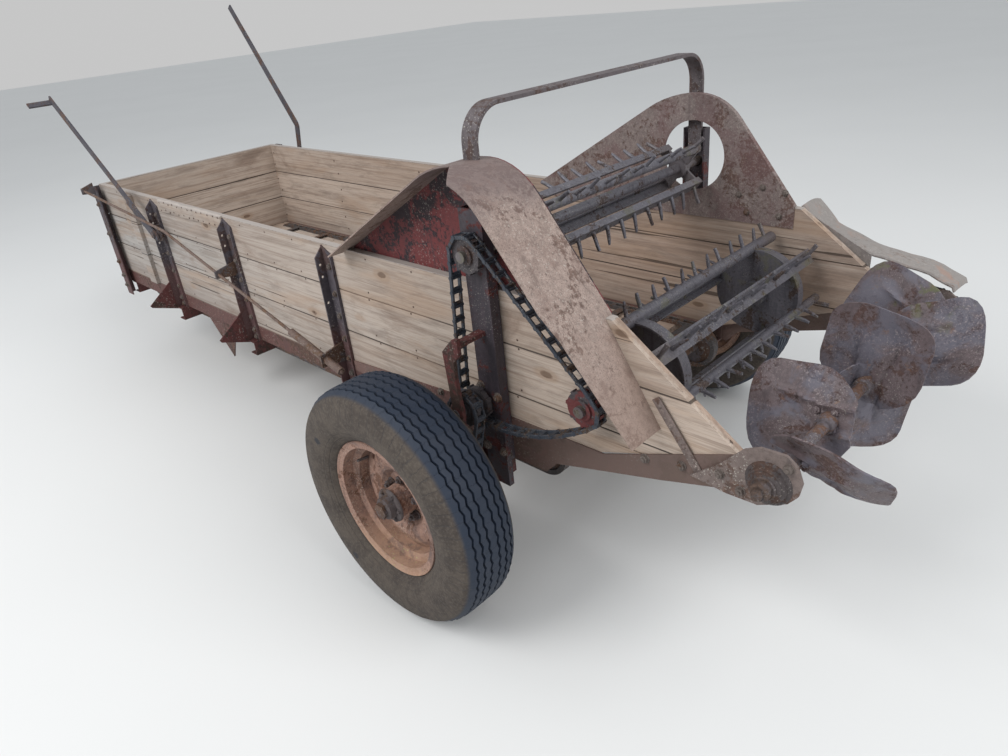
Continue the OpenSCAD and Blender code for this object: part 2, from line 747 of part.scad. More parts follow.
count_c = [count_x, count_z, spr_r];
upper_c = [post_x, upper_z, spr_r];
main_c = [-main_x, main_z, spr_r];
dist_c = [-dist_x, dist_z, spr_r];
axle_c = [0, 0, axle_spr_r];
beater_v = pieces([count_c, upper_c, main_c]);
drive_v = pieces([axle_c, count_c]);
dist_v = pieces([main_c, dist_c]);

module sprockets() {
  color("darkslategray") at_axle() {
    sprocket(count_c, chain_y, 14, gap_a(beater_v, 0));
    sprocket(upper_c, chain_y, shaft_r + fit_c, gap_a(beater_v, 1));
    sprocket(main_c, chain_y, shaft_r + fit_c, gap_a(beater_v, 2));
    sprocket(axle_c, drive_y, spindle_r, gap_a(drive_v, 0));
    sprocket(count_c, drive_y, 14, gap_a(drive_v, 1));
    sprocket(main_c, -chain_y, shaft_r + fit_c, gap_a(dist_v, 0));
    sprocket(dist_c, -chain_y, shaft_r + fit_c, gap_a(dist_v, 1));
    rod_y(count_x, count_z, post_y, drive_y + 44, 14);
  }
}

// A toothed sprocket across Y with a bore of radius b. Its first tooth stands at angle ph.
module sprocket(c, y, b, ph) {
  pr = c[2];
  n = round(2 * PI * pr / link_p);
  translate([c[0], y, c[1]]) rotate([90, 0, 0]) difference() {
    union() {
      translate([0, 0, -8]) linear_extrude(16) union() {
        circle(r = pr - link_t / 2 - 1);
        for (i = [0:n - 1]) {
          rotate(ph + 360 / n * i) translate([pr - link_t, 0]) square([2 * link_t, 9], center = true);
        }
      }
      translate([0, 0, -14]) cylinder(h = 28, r = b + 12);
    }
    translate([0, 0, -15]) cylinder(h = 30, r = b);
  }
}

// Flat links in a row: two side bars that bend at each hinge, and a barrel across every hinge.
module chain_loop(v, y, sag) {
  l = total(v);
  n = floor(l / link_p);
  p = l / n;
  pts = [for (i = [0:n - 1]) walk(v, p * i, sag)];
  nrm = [for (i = [0:n - 1]) let(d = pts[(i + 1) % n] - pts[(i + n - 1) % n]) [d[1], -d[0]] / norm(d)];
  b = link_t / 2 - 1;
  for (k = [-1, 1]) {
    sheet_y(y + k * (link_w / 2 - 3) - 3, y + k * (link_w / 2 - 3) + 3) difference() {
      polygon([for (i = [0:n - 1]) pts[i] + b * nrm[i]]);
      polygon([for (i = [0:n - 1]) pts[i] - b * nrm[i]]);
    }
  }
  for (q = pts) {
    rod_y(q[0], q[1], y - link_w / 2 - 1.5, y + link_w / 2 + 1.5, link_t / 2 + 0.7);
  }
}

module beater_chain() {
  color("darkslategray") at_axle()
    chain_loop(beater_v, chain_y, chain_sag);
}

module drive_chain() {
  color("darkslategray") at_axle()
    chain_loop(drive_v, drive_y, 0);
}

module distributor_chain() {
  color("darkslategray") at_axle()
    chain_loop(dist_v, -chain_y, 0);
}

apron_y = in_y - 62;
module apron_strand(s, z) {
  translate([apron_x0, s * apron_y - 15, z]) difference() {
    cube([apron_x1 - apron_x0, 30, 16]);
    for (x = [10:60:apron_x1 - apron_x0 - 50]) {
      translate([x, 7, -1]) cube([42, 16, 18]);
    }
  }
}

module apron_upper() {
  color("darkslategray") at_axle() {
    for (s = [-1, 1]) {
      apron_strand(s, floor_z);
    }
    for (x = [apron_x0 + 20:slat_pitch:apron_x1]) {
      translate([x - 15, -apron_y + 15, floor_z + 0.3]) difference() {
        cube([30, 2 * apron_y - 30, 15]);
        translate([-1, -1, -1]) cube([26, 2 * apron_y, 12]);
      }
    }
  }
}

module apron_lower() {
  color("darkslategray") at_axle() {
    for (s = [-1, 1]) {
      apron_strand(s, apron_z - apron_r - 8);
      for (e = [0, 1]) {
        translate([e == 0 ? apron_x0 : apron_x1, s * apron_y - 15, apron_z])
          mirror([e, 0, 0]) rotate([-90, 0, 0]) rotate([0, 0, 90])
            rotate_extrude(angle = 180) translate([apron_r - 8, 0]) square([16, 30]);
      }
    }
    for (x = [apron_x0 + 20:slat_pitch:apron_x1]) {
      translate([x - 15, -apron_y + 15, apron_z - apron_r - 7]) difference() {
        cube([30, 2 * apron_y - 30, 15]);
        translate([5, -1, 4]) cube([26, 2 * apron_y, 12]);
      }
    }
  }
}

module apron_shafts() {
  color("dimgray") at_axle() for (x = [apron_x0, apron_x1]) {
    rod_y(x, apron_z, -out_y + sill_w + 0.3, out_y - sill_w - 0.3, 16);
    for (s = [0, 1]) {
      mirror([0, s, 0]) difference() {
        translate([x - 30, out_y - sill_w - 14, apron_z - 34]) cube([60, 14, floor_z - apron_z + 30]);
        rod_y(x, apron_z, out_y - sill_w - 15, out_y - sill_w + 1, 16 + fit_c);
      }
    }
    difference() {
      for (s = [-1, 1]) {
        rod_y(x, apron_z, s * apron_y - 10, s * apron_y + 10, apron_r - 8.3);
      }
      rod_y(x, apron_z, -out_y, out_y, 16 + fit_c);
    }
  }
}

module lever_left() {
  color("slategray") at_axle() translate([lever_x, lever_y, lever_z]) rotate([0, -lever_a, 0]) difference() {
    union() {
      translate([-lever_w, 0, -lever_w / 2]) cube([lever_l + lever_w, lever_t, lever_w]);
      translate([0, 0, -lever_w]) cube([lever_l / 4, lever_t, 1.5 * lever_w]);
      translate([lever_l - lever_w, 0, -lever_w / 2]) cube([lever_w, 110, lever_t]);
    }
    translate([0, -1, 0]) rotate([-90, 0, 0]) cylinder(h = lever_t + 2, r = pin_r + fit_c);
  }
}

// A cranked bar: upright up to the bend, then leaning forward.
module lever_right() {
  bend = [-54, 236];
  tip = bend + lever_rl * [cos(lever_ra), sin(lever_ra)];
  color("slategray") at_axle() mirror([0, 1, 0]) translate([rlever_x, lever_y, rlever_z]) difference() {
    sheet_y(0, lever_t) {
      polygon([[-lever_w / 2, -lever_w], [lever_w / 2, -lever_w], [bend[0] + 20, bend[1] - 8],
        [tip[0] + 0.4 * lever_w, tip[1] - 0.3 * lever_w], [tip[0] - 0.4 * lever_w, tip[1] + 0.3 * lever_w],
        [bend[0] - 12, bend[1] + 12], [bend[0] - 17, bend[1] - 10]]);
    }
    translate([0, -1, 0]) rotate([-90, 0, 0]) cylinder(h = lever_t + 2, r = pin_r + fit_c);
  }
}

// Carries each lever on a pin, from a plate on its stake.
module lever_bracket(x, z, xs) {
  translate([min(x - 30, xs), stake_y, z - 30]) cube([abs(x - xs) + 30, 10, 60]);
  rod_y(x, z, stake_y + 9, lever_y + lever_t + 5, pin_r);
  rod_y(x, z, stake_y + 10, lever_y - 0.5, pin_r + 6);
  rod_y(x, z, lever_y + lever_t + 0.5, lever_y + lever_t + 8, pin_r + 6);
}

// Rod line, bent once and low at the rear: where it passes a stake it runs in a guide eye.
rod_y0 = lever_y + lever_t + 16 + rod_r;
rod_p = [[front_x - stake_w / 2 + 6, side_top - 15], [stakes[1] - 240, side_top - 95],
         [stakes[3] - 64, floor_z + 35]];
function rod_at(x) = x > rod_p[1][0] ? 0 : 1;
function rod_run(i) = rod_p[i] - rod_p[i + 1];
function rod_turn(i) = atan2(rod_run(i)[1], rod_run(i)[0]);
// A guide plate of thickness 8 in front of x, from y0 out to an eye round the rod.
module rod_guide(x, r, y0) {
  g = r + 8;
  k = rod_at(x);
  z = rod_p[k + 1][1] + (x + 4 - rod_p[k + 1][0]) * tan(rod_turn(k));
  difference() {
    translate([x, 0, 0]) sheet_yz(8)
      polygon([[y0, z - g - 12], [y0, z + g + 18], [rod_y0 + g, z + g], [rod_y0 + g, z - g],
               [rod_y0 - g, z - g - 4]]);
    translate([x + 4, rod_y0, z]) rotate([0, 90 - rod_turn(k), 0])
      translate([0, 0, -10]) cylinder(h = 20, r = r + 0.3);
  }
}

module lever_brackets() {
  flange = stake_w / 2 - stake_t - 8;
  color("brown") at_axle() {
    rod_guide(front_x - stake_w / 2, rod_r, stake_y);
    rod_guide(stakes[2] + flange, rod_r, out_y + stake_t);
    rod_guide(stakes[3] + flange, rod_r + 8, out_y + stake_t);
    lever_bracket(lever_x, lever_z, stakes[1] + stake_w / 2);
    translate([stakes[1] - stake_w / 2 + stake_t + 2, out_y + stake_t, lever_z - 30])
      cube([14, stake_d - stake_t + 1, 60]);
    mirror([0, 1, 0]) lever_bracket(rlever_x, rlever_z, front_x - stake_w + 30);
  }
}

module control_rod() {
  color("saddlebrown") at_axle() {
    for (k = [0, 1]) {
      translate([rod_p[k + 1][0], rod_y0, rod_p[k + 1][1]]) rotate([0, 90 - rod_turn(k), 0]) {
        cylinder(h = norm(rod_run(k)), r = rod_r);
        sphere(r = rod_r + 1);
      }
    }
    translate([rod_p[2][0], rod_y0, rod_p[2][1]]) rotate([0, 90 - rod_turn(1), 0])
      cylinder(h = 300, r = rod_r + 8);
  }
}

// The red arm that holds the outer end of the counter shaft, bent clear of both chains.
module chain_bracket() {
  y1 = drive_y + link_w / 2 + 11;
  color("crimson") at_axle() difference() {
    union() {
      sheet_y(y1, y1 + 12)
        polygon([[post_x - 12, count_z + 237], [post_x + 10, count_z + 231], [post_x + 52, count_z + 187],
                 [post_x + 48, count_z + 120], [post_x + 42, count_z], [post_x + 34, count_z - 62],
                 [post_x + 10, count_z - 62], [post_x + 4, count_z + 20], [post_x + 10, count_z + 60],
                 [post_x + 14, count_z + 110], [post_x + 12, count_z + 165], [post_x - 12, count_z + 190]]);
      rod_y(count_x, count_z, y1, y1 + 12, 26);
      translate([post_x - 10, post_y, count_z + 208]) cube([26, y1 - post_y + 1, 12]);
    }
    rod_y(count_x, count_z, y1 - 1, y1 + 13, 14 + fit_c);
  }
}

module parking_leg() {
  color("dimgray") at_axle() translate([leg_x, 0, 0]) {
    translate([-leg_w / 2, -leg_w / 2, -tyre_r + 8]) cube([leg_w, leg_w, leg_z + tyre_r + 22]);
    translate([-80, -80, -tyre_r]) cube([160, 160, 8]);
    rod_y(0, leg_z, -leg_w / 2 - 22, leg_w / 2 + 22, pin_r);
  }
}

side_boards_left();
side_boards_right();
front_boards();
floor_boards();
sill_left();
sill_right();
cross_members();
floor_bearers();
stakes_left();
stakes_right();
drawbar();
hitch_clevis();
axle();
axle_bracket_left();
axle_bracket_right();
tyre_left();
tyre_right();
rim_left();
rim_right();
post_left();
post_right();
arch_plate_left();
arch_plate_right();
chain_guard_left();
distributor_guard();
arch_bar();
upper_beater();
main_beater();
distributor();
bearing_plate_left();
bearing_plate_right();
beater_bearings();
sprockets();
beater_chain();
drive_chain();
distributor_chain();
apron_upper();
apron_lower();
apron_shafts();
lever_left();
lever_right();
lever_brackets();
control_rod();
chain_bracket();
parking_leg();
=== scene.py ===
import bpy
import bmesh
from math import acos, atan2, cos, floor, hypot, pi, radians, sin
from mathutils import Matrix, Vector


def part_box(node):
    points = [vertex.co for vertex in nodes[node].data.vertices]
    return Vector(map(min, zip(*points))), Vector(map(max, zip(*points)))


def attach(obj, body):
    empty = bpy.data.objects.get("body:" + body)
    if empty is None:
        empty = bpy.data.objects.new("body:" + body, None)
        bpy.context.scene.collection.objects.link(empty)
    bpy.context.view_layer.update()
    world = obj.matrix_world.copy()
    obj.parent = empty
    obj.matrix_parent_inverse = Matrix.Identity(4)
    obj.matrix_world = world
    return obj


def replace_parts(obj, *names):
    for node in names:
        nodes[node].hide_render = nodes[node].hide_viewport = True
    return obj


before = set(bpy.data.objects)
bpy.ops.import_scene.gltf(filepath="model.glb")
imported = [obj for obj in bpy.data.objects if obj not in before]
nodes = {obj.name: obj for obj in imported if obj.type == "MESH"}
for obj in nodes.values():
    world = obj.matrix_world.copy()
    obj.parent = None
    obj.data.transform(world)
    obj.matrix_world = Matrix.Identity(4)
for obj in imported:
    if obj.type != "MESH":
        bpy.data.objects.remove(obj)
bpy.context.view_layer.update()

# The view: from standing height behind the left wheel, looking forward and down along the box.
# The lens is a short one of 26 mm, so the beaters are large and the drawbar end is far away.
eye = bpy.data.cameras.new("photo_view")
eye.lens = 26.139
eye.sensor_width = 36.0
eye.clip_end = 200.0
eye_object = bpy.data.objects.new("photo_view", eye)
eye_object.location = (-2.912, 1.7301, 1.595)
eye_object.rotation_euler = (1.07963, 0.09388, -2.37814)
bpy.context.scene.collection.objects.link(eye_object)
bpy.context.scene.camera = eye_object
bpy.context.scene.view_settings.view_transform = "Standard"


# The studio: a plain pale floor that takes the shadow, an even sky and two wide soft lamps.
# The key lamp hangs high on the left, since the outer left boards are the brightest in the view.
class Value:
    """One output socket, so that sums and masks on a surface read as plain expressions."""

    def __init__(self, socket):
        self.socket = socket

    def node(self, kind, settings=None, inputs=None, out=0):
        """Adds a node to this surface, with its settings first and then its inputs."""
        tree = self.socket.id_data
        made = tree.nodes.new(kind)
        for name, value in (settings or {}).items():
            setattr(made, name, value)
        for name, value in (inputs or {}).items():
            if isinstance(value, Value):
                tree.links.new(value.socket, made.inputs[name])
            else:
                made.inputs[name].default_value = value
        return Value(made.outputs[out])

    def maths(self, operation, *values):
        return self.node("ShaderNodeMath", {"operation": operation}, dict(enumerate(values)))

    def __add__(self, other): return self.maths("ADD", self, other)
    __radd__ = __add__
    def __sub__(self, other): return self.maths("SUBTRACT", self, other)
    def __rsub__(self, other): return self.maths("SUBTRACT", other, self)
    def __mul__(self, other): return self.maths("MULTIPLY", self, other)
    __rmul__ = __mul__
    def __truediv__(self, other): return self.maths("DIVIDE", self, other)
    def __lt__(self, other): return self.maths("LESS_THAN", self, other)
    def __abs__(self): return self.maths("ABSOLUTE", self)

    def axis(self, letter):
        return self.node("ShaderNodeSeparateXYZ", {}, {0: self}, "XYZ".index(letter))

    def rise(self, low, high):
        """0 below low, 1 above high, and a soft step between them."""
        return self.node("ShaderNodeMapRange", {"interpolation_type": "SMOOTHSTEP"},
                         {"Value": self, "From Min": low, "From Max": high})

    def tint(self, first, second):
        """Blends from the first colour to the second by this mask."""
        full = [c if isinstance(c, Value) else (*c, 1.0) for c in (first, second)]
        return self.node("ShaderNodeMix", {"data_type": "RGBA"}, {0: self, 6: full[0], 7: full[1]}, 2)

    def stretched(self, scale, shift=(0, 0, 0)):
        """The place on the piece, with its own scale along each axis and moved by shift."""
        scale = (scale,) * 3 if isinstance(scale, (int, float)) else scale
        return self.node("ShaderNodeMapping", {}, {"Vector": self, "Location": shift, "Scale": scale})

    def noise(self, scale, detail=4.0, rough=0.55, warp=0.0, shift=(0, 0, 0)):
        """A cloudy 0 to 1 pattern; scale is how many clouds fit in a metre."""
        spread = self.stretched(scale, shift)
        return self.node("ShaderNodeTexNoise", {}, {"Vector": spread, "Scale": 1.0, "Detail": detail,
                                                    "Roughness": rough, "Distortion": warp})

    def spots(self, scale, shift=(0, 0, 0)):
        return self.node("ShaderNodeTexVoronoi", {}, {"Vector": self.stretched(scale, shift), "Scale": 1.0})


def surface(name, roughness=0.8, metallic=0.0):
    """Starts a finish: its material, its shader and the place on the piece in metres."""
    made = bpy.data.materials.new(name)
    made.use_nodes = True
    tree = made.node_tree
    shader = tree.nodes["Principled BSDF"]
    shader.inputs["Roughness"].default_value = roughness
    shader.inputs["Metallic"].default_value = metallic
    return made, shader, Value(tree.nodes.new("ShaderNodeTexCoord").outputs["Object"])


def give(shader, **sockets):
    """Joins colours and masks to the shader, and turns a height into its bump."""
    for name, value in sockets.items():
        if name == "height":
            height, depth = value
            value = height.node("ShaderNodeBump", {}, {"Height": height, "Distance": depth,
                                                       "Strength": 1.0})
            name = "Normal"
        shader.id_data.links.new(value.socket, shader.inputs[name.replace("_", " ")])


floor_mesh = bmesh.new()
bmesh.ops.create_grid(floor_mesh, x_segments=8, y_segments=8, size=30.0)
floor_data = bpy.data.meshes.new("studio_floor")
floor_mesh.to_mesh(floor_data)
studio_floor = bpy.data.objects.new("studio_floor", floor_data)
bpy.context.scene.collection.objects.link(studio_floor)
floor_finish, floor_shader, floor_place = surface("studio_floor", 0.9)
give(floor_shader, Base_Color=floor_place.noise(0.6, 2.0).tint((0.70, 0.70, 0.69), (0.74, 0.74, 0.73)))
floor_data.materials.append(floor_finish)

sky = bpy.data.worlds.new("studio_sky")
sky.use_nodes = True
sky_nodes = sky.node_tree.nodes
seen = Value(sky_nodes.new("ShaderNodeLightPath").outputs["Is Camera Ray"])
glossy = Value(seen.socket.node.outputs["Is Glossy Ray"])
through = Value(seen.socket.node.outputs["Is Transmission Ray"])
backdrop = seen.maths("MAXIMUM", seen, glossy.maths("MAXIMUM", glossy, through))
sky.node_tree.links.new(backdrop.tint((0.92, 0.96, 1.0), (0.86, 0.86, 0.86)).socket,
                        sky_nodes["Background"].inputs["Color"])
sky_nodes["Background"].inputs["Strength"].default_value = 0.66
bpy.context.scene.world = sky
for lamp_name, lamp_at, watts, size in (("key_lamp", (0.4, 5.2, 5.4), 310, 4.0),
                                        ("rear_lamp", (-6.2, -0.6, 4.6), 190, 4.5)):
    lamp = bpy.data.lights.new(lamp_name, "AREA")
    lamp.energy, lamp.size = watts, size
    lamp_object = bpy.data.objects.new(lamp_name, lamp)
    lamp_object.location = lamp_at
    aim = Vector((-0.4, 0, 0.7)) - Vector(lamp_at)
    lamp_object.rotation_euler = aim.to_track_quat("-Z", "Y").to_euler()
    bpy.context.scene.collection.objects.link(lamp_object)


# The load box: rough sawn planks, three to a side, laid edge to edge and bolted to the stakes.
# The wood is untreated and weathered: silver grey outside at the front, tan inside and at the rear.
board_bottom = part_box("side_boards_left")[0].z
board_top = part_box("side_boards_right")[1].z
plank_h = (board_top - board_bottom) / 3
box_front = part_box("front_boards")[1].x


def plank_finish(name, along, across, outer, top_highlight_and_darker_low=True):
    """Weathered planks with their grain along one axis and their seams across another.

    outer gives a mask of the side that faces the weather, and the last flag turns on a painted highlight of
    sky light along the top edge and a darkening towards the bottom of the planks.
    """
    made, shader, place = surface(name, 0.86)
    slow = [3.0, 3.0, 3.0]
    fast = [95.0, 95.0, 95.0]
    fast[along], slow[along] = 1.6, 0.7
    line = place.axis("XYZ"[across])
    forward = place.axis("X")
    row = (line - board_bottom) / plank_h
    plank = row.maths("FLOOR", row)
    own = plank.node("ShaderNodeTexWhiteNoise", {"noise_dimensions": "1D"}, {"W": plank})
    long_grain = place.noise(fast, 6.0, 0.62, 0.25)
    fibre = place.noise([s * 5 for s in fast], 3.0, 0.6, shift=(3, 1, 2))
    cloud = place.noise(slow, 5.0, 0.6, 0.4)
    grey = outer(place)
    front = (forward + cloud * 1.6).rise(-1.1, 1.9)
    bright = front.tint((0.50, 0.405, 0.335), (0.345, 0.335, 0.325))
    inside = (forward + cloud).rise(-1.4, 1.6).tint((0.40, 0.29, 0.225), (0.56, 0.46, 0.385))
    colour = grey.tint(inside, bright)
    colour = (own * 0.42).tint(colour, (0.31, 0.225, 0.17))
    colour = (cloud.rise(0.45, 0.65) * 0.35).tint(colour, (0.47, 0.41, 0.36))
    colour = (long_grain.rise(0.45, 0.70) * 0.26).tint(colour, (0.52, 0.46, 0.40))
    colour = (long_grain.rise(0.52, 0.36) * 0.45).tint(colour, (0.19, 0.135, 0.10))
    colour = (fibre.rise(0.48, 0.66) * 0.30).tint(colour, (0.17, 0.125, 0.10))
    seam = abs(row.maths("PINGPONG", row, 0.5))
    joint = (seam + long_grain * 0.01 - 0.005).rise(0.020, 0.011)
    colour = (joint * 0.9).tint(colour, (0.035, 0.025, 0.02))
    warm_scale = [1.4, 4.0, 9.0] if along == 0 else [4.0, 1.4, 9.0]
    warm = place.noise(warm_scale, 5.0, 0.6, 0.6, (3, 3, 8)).rise(0.50, 0.66)
    colour = (warm * 0.45).tint(colour, (0.37, 0.25, 0.17))
    stain = place.noise([2.2, 2.2, 5.0], 6.0, 0.7, 0.8, (7, 2, 5)).rise(0.53, 0.72)
    colour = (stain * 0.6).tint(colour, (0.19, 0.125, 0.09))
    grime_scale = [5.0 if i == along else 26.0 for i in range(3)]
    grime = place.noise(grime_scale, 6.0, 0.68, 0.5, (6, 4, 4)).rise(0.47, 0.68)
    colour = (grime * 0.42).tint(colour, (0.17, 0.13, 0.105))
    knot_scale = [7.0, 7.0, 7.0]
    knot_scale[along] = 3.2
    knot = place.spots(knot_scale, (0.35, 0.2, 0.6)) + place.noise(40.0, 3.0) * 0.05
    colour = (knot.rise(0.115, 0.085) * 0.8).tint(colour, (0.13, 0.075, 0.045))
    ring = knot.rise(0.07, 0.12) * knot.rise(0.2, 0.13)
    colour = (ring * 0.45).tint(colour, (0.33, 0.22, 0.145))
    crack_scale = [75.0, 75.0, 75.0]
    crack_scale[along] = 0.85
    crack = place.noise(crack_scale, 2.0, 0.5, 0.12, (1, 8, 3)).rise(0.69, 0.715)
    colour = (crack * 0.8).tint(colour, (0.06, 0.04, 0.03))
    if top_highlight_and_darker_low:
        # Painted highlight: the top edge is lightened as if sky light catches it.
        edge = (place.axis("Z") + place.noise(60.0) * 0.006).rise(board_top - 0.001, board_top + 0.0025)
        colour = (edge * 0.7).tint(colour, (0.47, 0.42, 0.385))
        # The planks darken towards their bottom.
        low = (place.axis("Z") + cloud * 0.12).rise(board_bottom + 0.16, board_bottom + 0.04)
        colour = (low * 0.4).tint(colour, (0.19, 0.14, 0.115))
    height = long_grain * 0.55 + fibre * 0.3 - crack * 1.2 - knot.rise(0.12, 0.09) * 0.25
    give(shader, Base_Color=colour, Roughness=0.95 - grey * 0.1, height=(height, 0.0022))
    return made


def dress(finish, *names):
    """Gives solids of the CAD model a finish in place of their plain one."""
    for name in names:
        nodes[name].data.materials.clear()
        nodes[name].data.materials.append(finish)


side_wood = plank_finish("weathered_side_planks", 0, 2,
                         lambda place: abs(place.axis("Y")).rise(0.486, 0.491))
front_wood = plank_finish("weathered_front_planks", 1, 2,
                          lambda place: place.axis("X").rise(box_front - 0.012, box_front - 0.008))
floor_wood = plank_finish("worn_floor_planks", 0, 1, lambda place: place.axis("Z") < 0.2, False)
dress(side_wood, "side_boards_left", "side_boards_right")
dress(front_wood, "front_boards")
dress(floor_wood, "floor_boards", "floor_bearers")

# A thin mending strip lies along the top of the left side, at its front half.
# It is split, grey and a little warped, and two rows of nails hold it.
axle_x, axle_z = -1478, 362


def at(x, y, z):
    """A place given in millimetres from the middle of the axle, in the frame's metres."""
    return Vector(((x + axle_x) / 1000, y / 1000, (z + axle_z) / 1000))


def eased(mesh, edges, width, segments=1):
    """Takes the sharpness off edges, and gives back what the bevel made."""
    return bmesh.ops.bevel(mesh, geom=edges, offset=width, segments=segments, profile=0.5,
                           affect="EDGES", material=-1)


def bar(mesh, low, high, ease=0.001):
    """A squared bar between two corners given from the axle in millimetres, its edges eased."""
    low, high = at(*low), at(*high)
    made = bmesh.ops.create_cube(mesh, size=1.0)["verts"]
    bmesh.ops.scale(mesh, vec=high - low, verts=made)
    bmesh.ops.translate(mesh, vec=(low + high) / 2, verts=made)
    edges = list({e for v in made for e in v.link_edges})
    done = eased(mesh, edges, ease, 2)
    return list({v for f in done["faces"] for v in f.verts})


def disc(mesh, centre, axis, radius, thick, sides=16, top=None, ease=0.0006):
    """A short round or six-sided boss that stands on centre and rises along axis."""
    turn = Vector((0, 0, 1)).rotation_difference(Vector(axis)).to_matrix().to_4x4()
    made = bmesh.ops.create_cone(mesh, cap_ends=True, segments=sides, radius1=radius,
                                 radius2=radius if top is None else top, depth=thick)["verts"]
    bmesh.ops.translate(mesh, vec=(0, 0, thick / 2), verts=made)
    rim = [e for e in {e for v in made for e in v.link_edges} if all(v.co.z > thick * 0.9 for v in e.verts)]
    done = eased(mesh, rim, ease)
    made = [v for v in set(made) | set(done["verts"]) if v.is_valid]
    bmesh.ops.transform(mesh, matrix=Matrix.Translation(centre) @ turn, verts=made)
    return made


def fitted(name, mesh, finish, body, sharp=38):
    """Makes the piece from its mesh, dresses it, and fixes it to the body that carries it."""
    bmesh.ops.remove_doubles(mesh, verts=mesh.verts, dist=1e-6)
    bmesh.ops.recalc_face_normals(mesh, faces=mesh.faces)
    data = bpy.data.meshes.new(name)
    mesh.to_mesh(data)
    mesh.free()
    data.shade_smooth()
    data.set_sharp_from_angle(angle=radians(sharp))
    data.materials.append(finish)
    made = bpy.data.objects.new(name, data)
    bpy.context.scene.collection.objects.link(made)
    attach(made, body)
    return made


patch = bmesh.new()
bar(patch, (1372, 499, 498), (1958, 511, 551), 0.002)
bmesh.ops.subdivide_edges(patch, edges=[e for e in patch.edges if e.calc_length() > 0.3], cuts=40)
for v in patch.verts:
    v.co.z += 0.0016 * sin(v.co.x * 23) + 0.0012 * sin(v.co.x * 71)
    v.co.y += 0.0008 * sin(v.co.x * 31)
fitted("top_patch_strip", patch, side_wood, "frame")

# A short board closes the floor in front of the apron's front shaft.
# It lies under the front boards, with its ends between the side planks.
closing = bmesh.new()
bar(closing, (2488, -473, 68), (2697, 473, 89.6), 0.001)
fitted("front_floor_board", closing, floor_wood, "frame")

# Cut nails with flat iron heads are driven where each plank crosses a stake or the floor frame.
# They were driven by hand, so no row is quite straight.
nail_finish, nail_shader, nail_place = surface("nail_iron", 0.7)
give(nail_shader, Base_Color=nail_place.noise(90.0).tint((0.035, 0.026, 0.022), (0.13, 0.07, 0.045)))
stakes_x = (2672, 2035, 1342, 649)
floor_top, plank_wide = 90, 151.7
inner_side, outer_side = 475, 500
nails = bmesh.new()
for side in (1, -1):
    for x in stakes_x:
        for row in range(3):
            for dz in (42, 108):
                z = floor_top + row * plank_wide + dz
                dx = 9 * sin(x + 3 * z)
                seat = at(x - 12 + dx, side * (inner_side - 0.4), z)
                disc(nails, seat, (0, -side, 0), 0.0042, 0.0016, 10)
    for x in range(-180, 2650, 205):
        for z in (112, 236, 262, 388, 414, 528):
            dx = 22 * sin(x * 0.7 + z)
            sloped_away = x < -140 and z > 480
            if not sloped_away:
                disc(nails, at(x + dx, side * outer_side, z), (0, side, 0), 0.0032, 0.0012, 8)
for i in range(13):
    for z in (507, 541):
        seat = at(1388 + i * 46 + 5 * sin(i * 5), 511.2, z + 3 * sin(i * 3))
        disc(nails, seat, (0, 1, 0), 0.0036, 0.0014, 8)
for y in (-430, -300, -150, 0, 150, 300, 430):
    for z in (118, 214, 268, 366, 420, 520):
        disc(nails, at(2700, y + 8 * sin(z), z), (1, 0, 0), 0.0038, 0.0014, 8)
for x in stakes_x:
    for i in range(-7, 8):
        disc(nails, at(x + 7 * sin(i * 4), i * 59.4 - 22, floor_top + 0.3), (0, 0, 1), 0.004, 0.0012, 8)
fitted("board_nails", nails, nail_finish, "frame")


# The steel frame: rolled channel sills and cross members, pressed stakes and a welded drawbar.
# It was painted red once. The paint is dull and thin, with brown rust through it and dark grime low down.
def old_paint(name, paint, rust, dark, wear=0.5, pale=0.25, scale=1.0, rough=0.72, metal=0.0, extra=None,
              gritty=0.35):
    """Worn paint over steel, with patches of rust, upright runs, dark grime and pale specks of dust.

    wear is how much steel is bare, pale and gritty are the strengths of the specks and of the grime,
    and extra adds the tones that only one piece has.
    """
    made, shader, place = surface(name, rough, metal)
    patches = place.noise(7.0 * scale, 7.0, 0.66, 0.6)
    fine = place.noise(60.0 * scale, 6.0, 0.7, 0.3, (4, 1, 9))
    grit = place.noise(260.0 * scale, 3.0, 0.7, 0.0, (2, 6, 1))
    runs = place.noise((26.0 * scale, 26.0 * scale, 2.6 * scale), 4.0, 0.6, 0.2, (5, 5, 0))
    bare = (patches + (fine - 0.5) * 0.5).rise(0.62 - 0.22 * wear, 0.70 - 0.22 * wear)
    colour = fine.rise(0.35, 0.65).tint(paint, [c * 0.72 for c in paint])
    colour = bare.tint(colour, fine.rise(0.3, 0.7).tint(rust, [c * 0.5 for c in rust]))
    colour = (runs.rise(0.52, 0.72) * 0.55).tint(colour, dark)
    colour = (grit.rise(0.50, 0.66) * gritty).tint(colour, dark)
    speck = place.noise(150.0 * scale, 2.0, 0.5, 0.0, (9, 3, 3)).rise(0.60, 0.68)
    cloud = place.noise(5.0 * scale, 3.0, 0.5, 0.3, (1, 9, 4)).rise(0.42, 0.60)
    colour = (speck * cloud * pale).tint(colour, (0.55, 0.52, 0.46))
    if extra:
        colour = extra(place, colour)
    height = fine * 0.5 + grit * 0.35 + bare * 0.35
    give(shader, Base_Color=colour, Roughness=rough + bare * (0.9 - rough) - 0.06 * fine,
         height=(height, 0.0011))
    return made


def sill_dirt(place, colour):
    rear = (place.axis("X") + place.noise(9.0) * 0.2).rise(-1.35, -1.75)
    colour = (rear * 0.8).tint(colour, (0.135, 0.095, 0.08))
    top = place.axis("Z").rise(0.446, 0.452) * place.axis("X").rise(-1.3, -1.0)
    return (top * 0.35).tint(colour, (0.25, 0.17, 0.14))


